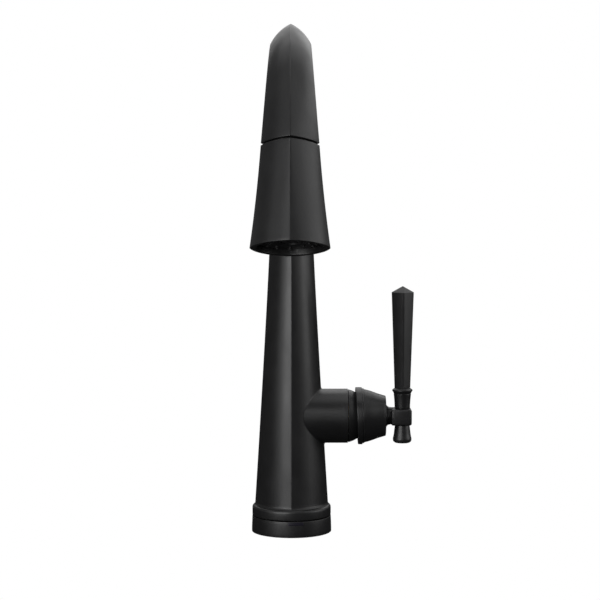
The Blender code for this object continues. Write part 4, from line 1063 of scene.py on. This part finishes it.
def grain_group():
    """Fine texture of a sprayed or moulded surface, and broad patches of handling."""
    tree, given, give = new_group(
        "Surface Grain", [("Fine Scale", 2600.0), ("Patch Scale", 45.0)], ["Height", "Patches", "Speckle"])
    place = add(tree, "ShaderNodeTexCoord").outputs["Object"]
    fine = add(tree, "ShaderNodeTexNoise", Vector=place, Scale=given["Fine Scale"], Detail=3.0, Roughness=0.6)
    broad = add(tree, "ShaderNodeTexNoise", Vector=place, Scale=given["Patch Scale"], Detail=4.0,
                Roughness=0.55, Distortion=0.4)
    patches = add(tree, "ShaderNodeMapRange", Value=broad.outputs["Fac"], From_Min=0.3, From_Max=0.7)
    speckle = add(tree, "ShaderNodeMapRange", Value=fine.outputs["Fac"], From_Min=0.35, From_Max=0.65)
    give(Height=fine.outputs["Fac"], Patches=patches.outputs["Result"], Speckle=speckle.outputs["Result"])
    return tree


def edge_wear_sheen_group():
    """A mask of convex edges, broken up by noise: partly rubbed wear, partly painted sheen along the edges."""
    tree, given, give = new_group(
        "Edge Wear And Sheen", [("From", 0.515), ("To", 0.60), ("Break Scale", 320.0)], ["Mask"])
    place = add(tree, "ShaderNodeTexCoord").outputs["Object"]
    edge = add(tree, "ShaderNodeMapRange", Value=add(tree, "ShaderNodeNewGeometry").outputs["Pointiness"],
               From_Min=given["From"], From_Max=given["To"])
    noise = add(tree, "ShaderNodeTexNoise", Vector=place, Scale=given["Break Scale"], Detail=3.0)
    broken = add(tree, "ShaderNodeMapRange", Value=noise.outputs["Fac"], From_Min=0.38, From_Max=0.62)
    give(Mask=computed(tree, "MULTIPLY", edge.outputs["Result"], broken.outputs["Result"]))
    return tree


def machining_group():
    """Fine lines left by a lathe or a brush, across the chosen axis."""
    tree, given, give = new_group(
        "Machining Lines", [("Scale X", 60.0), ("Scale Y", 60.0), ("Scale Z", 3000.0)], ["Height", "Lines"])
    place = add(tree, "ShaderNodeTexCoord").outputs["Object"]
    stretch = add(tree, "ShaderNodeCombineXYZ", X=given["Scale X"], Y=given["Scale Y"], Z=given["Scale Z"])
    scaled = add(tree, "ShaderNodeVectorMath", {"operation": "MULTIPLY"}, _0=place,
                 _1=stretch.outputs["Vector"])
    noise = add(tree, "ShaderNodeTexNoise", Vector=scaled.outputs["Vector"], Scale=1.0, Detail=2.0)
    lines = add(tree, "ShaderNodeMapRange", Value=noise.outputs["Fac"], From_Min=0.3, From_Max=0.7)
    give(Height=noise.outputs["Fac"], Lines=lines.outputs["Result"])
    return tree


GROUPS = {}


def group(tree, name, **inputs):
    made = add(tree, "ShaderNodeGroup", {"node_tree": GROUPS[name]}, **inputs)
    return made.outputs


def mixed(tree, share, first, second):
    """Blend two colours by a mask; the node's colour sockets are its seventh and eighth."""
    pair = [value if isinstance(value, bpy.types.NodeSocket) else (*value, 1.0) for value in (first, second)]
    return add(tree, "ShaderNodeMix", {"data_type": "RGBA"}, Factor=share, _6=pair[0], _7=pair[1]).outputs[2]


def scaled(shade, factor):
    return tuple(min(1.0, channel * factor) for channel in shade)


def new_material(name):
    material = bpy.data.materials.new(name)
    material.use_nodes = True
    tree = material.node_tree
    tree.nodes.clear()
    shader = tree.nodes.new("ShaderNodeBsdfPrincipled")
    leave = tree.nodes.new("ShaderNodeOutputMaterial")
    tree.links.new(shader.outputs["BSDF"], leave.inputs["Surface"])
    return material, tree, shader


def coated(name, shade, worn_and_sheen, roughness, spread=0.05, relief=0.012 * MM, fine=2600.0, patch_scale=45.0,
           drift=0.12, worn_roughness=-0.06):
    """A sprayed or moulded finish with fine grain, handling patches, and edges lightened towards a second
    colour, partly rubbed wear and partly painted sheen.
    """
    material, tree, shader = new_material(name)
    grain = group(tree, "Surface Grain", Fine_Scale=fine, Patch_Scale=patch_scale)
    wear_and_sheen = group(tree, "Edge Wear And Sheen")["Mask"]
    ground = mixed(tree, grain["Patches"], scaled(shade, 1.0 - drift), scaled(shade, 1.0 + drift))
    # Convex edges take the lighter colour: partly rubbed wear, partly painted sheen.
    tree.links.new(mixed(tree, wear_and_sheen, ground, worn_and_sheen), shader.inputs["Base Color"])
    level = add(tree, "ShaderNodeMapRange", Value=grain["Patches"], To_Min=roughness - spread,
                To_Max=roughness + spread).outputs["Result"]
    rubbed = computed(tree, "MULTIPLY_ADD", wear_and_sheen, worn_roughness, level)
    tree.links.new(rubbed, shader.inputs["Roughness"])
    bump = add(tree, "ShaderNodeBump", Strength=1.0, Distance=relief, Height=grain["Height"])
    tree.links.new(bump.outputs["Normal"], shader.inputs["Normal"])
    return material


def bare_metal(name, shade, roughness, lines=(60.0, 60.0, 3000.0), tarnish=0.65):
    """A machined metal with lathe lines and a little tarnish."""
    material, tree, shader = new_material(name)
    grain = group(tree, "Surface Grain", Fine_Scale=900.0, Patch_Scale=70.0)
    marks = group(tree, "Machining Lines", Scale_X=lines[0], Scale_Y=lines[1], Scale_Z=lines[2])
    dull = mixed(tree, grain["Patches"], scaled(shade, tarnish), shade)
    tree.links.new(mixed(tree, marks["Lines"], dull, scaled(shade, 1.1)), shader.inputs["Base Color"])
    level = add(tree, "ShaderNodeMapRange", Value=marks["Lines"], To_Min=roughness - 0.06,
                To_Max=roughness + 0.08).outputs["Result"]
    tree.links.new(level, shader.inputs["Roughness"])
    shader.inputs["Metallic"].default_value = 1.0
    bump = add(tree, "ShaderNodeBump", Strength=1.0, Distance=0.01 * MM, Height=marks["Height"])
    tree.links.new(bump.outputs["Normal"], shader.inputs["Normal"])
    return material


def window_glass(shade):
    """Smooth smoked plastic with faint flow marks."""
    # Its edges lighten to 1.6 times its colour: partly rubbed wear, partly painted sheen.
    return coated("smoked_window", shade, scaled(shade, 1.6), 0.32, spread=0.03, relief=0.002 * MM,
                  fine=600.0, patch_scale=160.0, worn_roughness=0.05)


def braid(shade, radius):
    """Crossed strands that wind round the hose's axis, with dark gaps between them."""
    material, tree, shader = new_material("braided_nylon")
    place = add(tree, "ShaderNodeTexCoord").outputs["Object"]
    centred = add(tree, "ShaderNodeVectorMath", {"operation": "SUBTRACT"}, _0=place, _1=tuple(SEAM))
    axis = add(tree, "ShaderNodeVectorRotate", {"rotation_type": "X_AXIS"}, Vector=centred.outputs["Vector"],
               Angle=TILT)
    parts = add(tree, "ShaderNodeSeparateXYZ", Vector=axis.outputs["Vector"]).outputs
    around = computed(tree, "ARCTAN2", parts["Y"], parts["X"])
    strands = 12.0
    rise = strands / radius
    waves = []
    for way in (1.0, -1.0):
        along = computed(tree, "MULTIPLY", parts["Z"], way * rise)
        phase = computed(tree, "MULTIPLY_ADD", around, strands, along)
        waves.append(computed(tree, "SINE", phase))
    crossing = computed(tree, "MULTIPLY", *waves)
    weave = add(tree, "ShaderNodeMapRange", Value=crossing, From_Min=-1.0, From_Max=1.0).outputs["Result"]
    grain = group(tree, "Surface Grain", Fine_Scale=5000.0, Patch_Scale=120.0)
    thread = mixed(tree, grain["Speckle"], scaled(shade, 0.75), scaled(shade, 1.3))
    tree.links.new(mixed(tree, weave, scaled(shade, 0.25), thread), shader.inputs["Base Color"])
    level = add(tree, "ShaderNodeMapRange", Value=grain["Patches"], To_Min=0.42, To_Max=0.58)
    tree.links.new(level.outputs["Result"], shader.inputs["Roughness"])
    bump = add(tree, "ShaderNodeBump", Strength=1.0, Distance=0.25 * MM, Height=weave)
    tree.links.new(bump.outputs["Normal"], shader.inputs["Normal"])
    return material


FINISHES = {}


def make_finishes(shades):
    """Make every finish once; pieces look theirs up by name."""
    if FINISHES:
        return FINISHES
    for tree in (grain_group(), edge_wear_sheen_group(), machining_group()):
        GROUPS[tree.name] = tree
    # Each coated finish's third argument is its lighter edge colour: partly rubbed wear, partly painted sheen.
    black = tuple(shades.black)
    FINISHES["black"] = coated("matte_black_coating", black, tuple(shades.black_worn_sheen),
                               shades.black_roughness)
    plastic = tuple(shades.plastic)
    FINISHES["plastic"] = coated("black_moulding", plastic, scaled(plastic, 2.2), 0.42, relief=0.02 * MM,
                                 fine=1800.0)
    white = tuple(shades.white_plastic)
    FINISHES["white"] = coated("white_moulding", white, scaled(white, 1.2), 0.45, fine=1500.0, drift=0.06)
    rubber = tuple(shades.rubber)
    FINISHES["rubber"] = coated("soft_rubber", rubber, scaled(rubber, 2.0), 0.72, spread=0.08,
                                relief=0.03 * MM, fine=1400.0, worn_roughness=0.05)
    FINISHES["brass"] = bare_metal("turned_brass", tuple(shades.brass), 0.30)
    FINISHES["steel"] = bare_metal("turned_steel", tuple(shades.steel), 0.26)
    FINISHES["copper"] = bare_metal("drawn_copper", tuple(shades.copper), 0.32, lines=(2500.0, 2500.0, 40.0))
    FINISHES["window"] = window_glass(tuple(shades.lens))
    FINISHES["braid"] = braid(tuple(shades.braid), bpy.context.scene.faucet_head.hose_radius)
    return FINISHES


# Stage

LIGHT_DISTANCE = 1.6
LIGHT_TARGET = Vector((0.02, -0.08, 0.2))


def area_light(name, azimuth, elevation, width, height, strength):
    """A soft box that faces the object; azimuth 0 is in front, and positive is to the right."""
    back = Vector((math.sin(azimuth) * math.cos(elevation), -math.cos(azimuth) * math.cos(elevation),
                   math.sin(elevation)))
    light = bpy.data.lights.new(name, "AREA")
    light.shape = "RECTANGLE"
    light.size = width
    light.size_y = height
    light.energy = strength * width * height * math.pi
    lamp = bpy.data.objects.new(name, light)
    bpy.context.scene.collection.objects.link(lamp)
    lamp.location = LIGHT_TARGET + back * LIGHT_DISTANCE
    lamp.rotation_euler = (-back).to_track_quat("-Z", "Y").to_euler()
    lamp.visible_camera = False


SOFT_BOXES = (
    ("key", -40.0, 1.5, 0.56, 0.62, 5.8),
    ("key_front", -20.0, 1.5, 0.56, 0.62, 4.2),
    ("key_side", -60.0, 4.0, 0.56, 0.56, 1.55),
    ("fill_right", 60.0, 4.0, 0.56, 0.56, 0.6),
    ("side_right", 80.0, 4.0, 0.56, 0.56, 2.3),
    ("side_back", 100.0, 4.0, 0.56, 0.56, 1.15),
    ("front_high", -20.0, 26.0, 1.1, 0.6, 2.25),
    ("left_high", -60.0, 26.0, 1.1, 0.6, 0.5),
    ("right_high", 60.0, 26.0, 1.1, 0.6, 0.85),
    ("side_high", 100.0, 26.0, 1.1, 0.6, 1.1),
    ("back_high", 140.0, 26.0, 1.1, 0.6, 0.7),
    ("back", 180.0, 26.0, 1.1, 0.6, 1.2),
    ("rim_left", -160.0, 50.0, 1.1, 0.6, 0.85),
    ("rim_right", 160.0, 50.0, 1.1, 0.6, 1.0),
    ("top_right", 80.0, 50.0, 1.1, 0.6, 0.6),
    ("top_left", -80.0, 50.0, 1.1, 0.6, 0.4),
    ("top", 0.0, 88.0, 1.2, 1.2, 1.05),
)


def make_stage(settings):
    """Pale floor, white surround, soft boxes and the camera."""
    solid = bmesh.new()
    bmesh.ops.create_grid(solid, x_segments=settings.floor_steps, y_segments=settings.floor_steps,
                          size=settings.floor_half)
    mesh = bpy.data.meshes.new("floor")
    solid.to_mesh(mesh)
    solid.free()
    floor = bpy.data.objects.new("floor", mesh)
    floor.location.z = -0.2 * MM
    bpy.context.scene.collection.objects.link(floor)
    material = bpy.data.materials.new("pale_floor")
    material.use_nodes = True
    tree = material.node_tree
    tree.nodes.clear()
    path = add(tree, "ShaderNodeLightPath").outputs["Is Camera Ray"]
    pale = add(tree, "ShaderNodeEmission", Color=(1.0, 1.0, 1.0, 1.0), Strength=1.0)
    soft = add(tree, "ShaderNodeBsdfDiffuse", Color=(0.03, 0.03, 0.03, 1.0))
    mix = add(tree, "ShaderNodeMixShader", _0=path, _1=soft.outputs["BSDF"], _2=pale.outputs["Emission"])
    leave = tree.nodes.new("ShaderNodeOutputMaterial")
    tree.links.new(mix.outputs["Shader"], leave.inputs["Surface"])
    mesh.materials.append(material)

    world = bpy.data.worlds.new("studio")
    bpy.context.scene.world = world
    world.use_nodes = True
    tree = world.node_tree
    tree.nodes.clear()
    path = add(tree, "ShaderNodeLightPath").outputs["Is Camera Ray"]
    seen = add(tree, "ShaderNodeBackground", Color=(1.0, 1.0, 1.0, 1.0), Strength=1.0)
    fill = add(tree, "ShaderNodeBackground", Color=(1.0, 1.0, 1.0, 1.0), Strength=0.11)
    mix = add(tree, "ShaderNodeMixShader", _0=path, _1=fill.outputs["Background"],
              _2=seen.outputs["Background"])
    leave = tree.nodes.new("ShaderNodeOutputWorld")
    tree.links.new(mix.outputs["Shader"], leave.inputs["Surface"])
    bpy.context.scene.view_settings.view_transform = "Standard"

    for name, azimuth, elevation, width, height, strength in SOFT_BOXES:
        area_light(name, math.radians(azimuth), math.radians(elevation), width, height, strength)

    view = bpy.data.cameras.new("camera")
    view.lens = settings.lens
    view.sensor_width = 36.0
    view.clip_end = 60.0
    camera = bpy.data.objects.new("camera", view)
    bpy.context.scene.collection.objects.link(camera)
    camera.location = (settings.aside, -settings.distance, settings.height)
    camera.rotation_euler = (math.pi / 2.0 - settings.pitch, 0.0, 0.0)
    bpy.context.scene.camera = camera


# Operators

class FAUCET_OT_base(bpy.types.Operator):
    """Make the base ring, its window and its gasket"""

    bl_idname = "faucet.base"
    bl_label = "Base ring"

    def execute(self, context):
        looks = make_finishes(context.scene.faucet_finishes)
        make_base(context.scene.faucet_body, looks["black"], looks["window"], looks["rubber"])
        return {"FINISHED"}


class FAUCET_OT_counter_hardware(bpy.types.Operator):
    """Make the threaded shank, gasket, washer and nut"""

    bl_idname = "faucet.counter_hardware"
    bl_label = "Counter hardware"

    def execute(self, context):
        looks = make_finishes(context.scene.faucet_finishes)
        make_counter_hardware(looks["brass"], looks["steel"], looks["rubber"])
        return {"FINISHED"}


class FAUCET_OT_spout(bpy.types.Operator):
    """Make the foot, column and gooseneck"""

    bl_idname = "faucet.spout"
    bl_label = "Spout"

    def execute(self, context):
        looks = make_finishes(context.scene.faucet_finishes)
        make_spout(context.scene.faucet_body, looks["black"])
        return {"FINISHED"}


class FAUCET_OT_hub(bpy.types.Operator):
    """Make the side hub and its domed cap"""

    bl_idname = "faucet.hub"
    bl_label = "Hub"

    def execute(self, context):
        looks = make_finishes(context.scene.faucet_finishes)
        make_hub(context.scene.faucet_body, context.scene.faucet_handle, looks["black"])
        return {"FINISHED"}


class FAUCET_OT_skirt(bpy.types.Operator):
    """Make the handle's ringed skirt and its set screw"""

    bl_idname = "faucet.skirt"
    bl_label = "Handle skirt"

    def execute(self, context):
        looks = make_finishes(context.scene.faucet_finishes)
        make_skirt(context.scene.faucet_handle, looks["black"], looks["steel"])
        return {"FINISHED"}


class FAUCET_OT_lever(bpy.types.Operator):
    """Make the cross block, ferrule, lever and finial"""

    bl_idname = "faucet.lever"
    bl_label = "Lever"

    def execute(self, context):
        looks = make_finishes(context.scene.faucet_finishes)
        make_lever(context.scene.faucet_handle, looks["black"])
        return {"FINISHED"}


class FAUCET_OT_spray_head(bpy.types.Operator):
    """Make the spray head's shell and its mode button"""

    bl_idname = "faucet.spray_head"
    bl_label = "Spray head"

    def execute(self, context):
        looks = make_finishes(context.scene.faucet_finishes)
        make_head(context.scene.faucet_head, looks["black"], looks["plastic"])
        return {"FINISHED"}


class FAUCET_OT_dock(bpy.types.Operator):
    """Make the dock in the spout's end and the coupling that meets it"""

    bl_idname = "faucet.dock"
    bl_label = "Dock and coupling"

    def execute(self, context):
        looks = make_finishes(context.scene.faucet_finishes)
        make_dock(context.scene.faucet_head, looks["plastic"], looks["steel"], looks["brass"])
        return {"FINISHED"}


class FAUCET_OT_spray_face(bpy.types.Operator):
    """Make the spray plate, its nozzles and the aerator"""

    bl_idname = "faucet.spray_face"
    bl_label = "Spray face"

    def execute(self, context):
        looks = make_finishes(context.scene.faucet_finishes)
        make_spray_face(context.scene.faucet_head, looks["plastic"], looks["rubber"])
        return {"FINISHED"}


class FAUCET_OT_hose(bpy.types.Operator):
    """Make the braided hose"""

    bl_idname = "faucet.hose"
    bl_label = "Hose"

    def execute(self, context):
        looks = make_finishes(context.scene.faucet_finishes)
        make_hose(context.scene.faucet_body, context.scene.faucet_head, looks["braid"])
        return {"FINISHED"}


CARRIED_OVER = {
    "swivel_bearing": "white",
    "swivel_washer": "white",
    "swivel_snap_ring": "steel",
    "valve_body": "brass",
    "mixing_cartridge": "white",
    "cartridge_nut": "brass",
    "supply_tube_hot": "copper",
    "supply_tube_cold": "copper",
    "outlet_tube": "copper",
    "cartridge_rotor": "brass",
    "stem_pin": "steel",
    "handle_stem": "brass",
    "check_valve": "white",
    "waterway": "plastic",
    "diverter_spool": "white",
    "spray_manifold": "plastic",
}


class FAUCET_OT_inner_parts(bpy.types.Operator):
    """Give the hidden working parts their finishes"""

    bl_idname = "faucet.inner_parts"
    bl_label = "Inner parts"

    def execute(self, context):
        looks = make_finishes(context.scene.faucet_finishes)
        for node, look in CARRIED_OVER.items():
            mesh = frame["nodes"][node].data
            mesh.materials.clear()
            mesh.materials.append(looks[look])
        return {"FINISHED"}


class FAUCET_OT_stage(bpy.types.Operator):
    """Make the floor, the lights and the camera"""

    bl_idname = "faucet.stage"
    bl_label = "Stage"

    def execute(self, context):
        make_stage(context.scene.faucet_stage)
        return {"FINISHED"}


STEPS = (
    FAUCET_OT_stage,
    FAUCET_OT_base,
    FAUCET_OT_counter_hardware,
    FAUCET_OT_spout,
    FAUCET_OT_hub,
    FAUCET_OT_skirt,
    FAUCET_OT_lever,
    FAUCET_OT_spray_head,
    FAUCET_OT_dock,
    FAUCET_OT_spray_face,
    FAUCET_OT_hose,
    FAUCET_OT_inner_parts,
)


class FAUCET_PT_maker(bpy.types.Panel):
    """Lists the steps that make the faucet"""

    bl_idname = "FAUCET_PT_maker"
    bl_label = "Pull-down faucet"
    bl_space_type = "VIEW_3D"
    bl_region_type = "UI"
    bl_category = "Faucet"

    def draw(self, context):
        column = self.layout.column(align=True)
        for step in STEPS:
            column.operator(step.bl_idname)
        for settings in (context.scene.faucet_body, context.scene.faucet_handle, context.scene.faucet_head,
                         context.scene.faucet_finishes, context.scene.faucet_stage):
            box = self.layout.box()
            for name in settings.bl_rna.properties.keys():
                if name not in {"rna_type", "name"}:
                    box.prop(settings, name)


SETTINGS = {
    "faucet_body": BodySizes,
    "faucet_handle": HandleSizes,
    "faucet_head": HeadSizes,
    "faucet_finishes": Finishes,
    "faucet_stage": StageSettings,
}


def register():
    for item in (*SETTINGS.values(), *STEPS, FAUCET_PT_maker):
        bpy.utils.register_class(item)
    for name, settings in SETTINGS.items():
        setattr(bpy.types.Scene, name, PointerProperty(type=settings))


def unregister():
    for name in SETTINGS:
        delattr(bpy.types.Scene, name)
    for item in reversed((*SETTINGS.values(), *STEPS, FAUCET_PT_maker)):
        bpy.utils.unregister_class(item)


def main():
    register()
    for step in STEPS:
        getattr(bpy.ops.faucet, step.bl_idname.split(".")[1])()


if __name__ == "__main__":
    main()
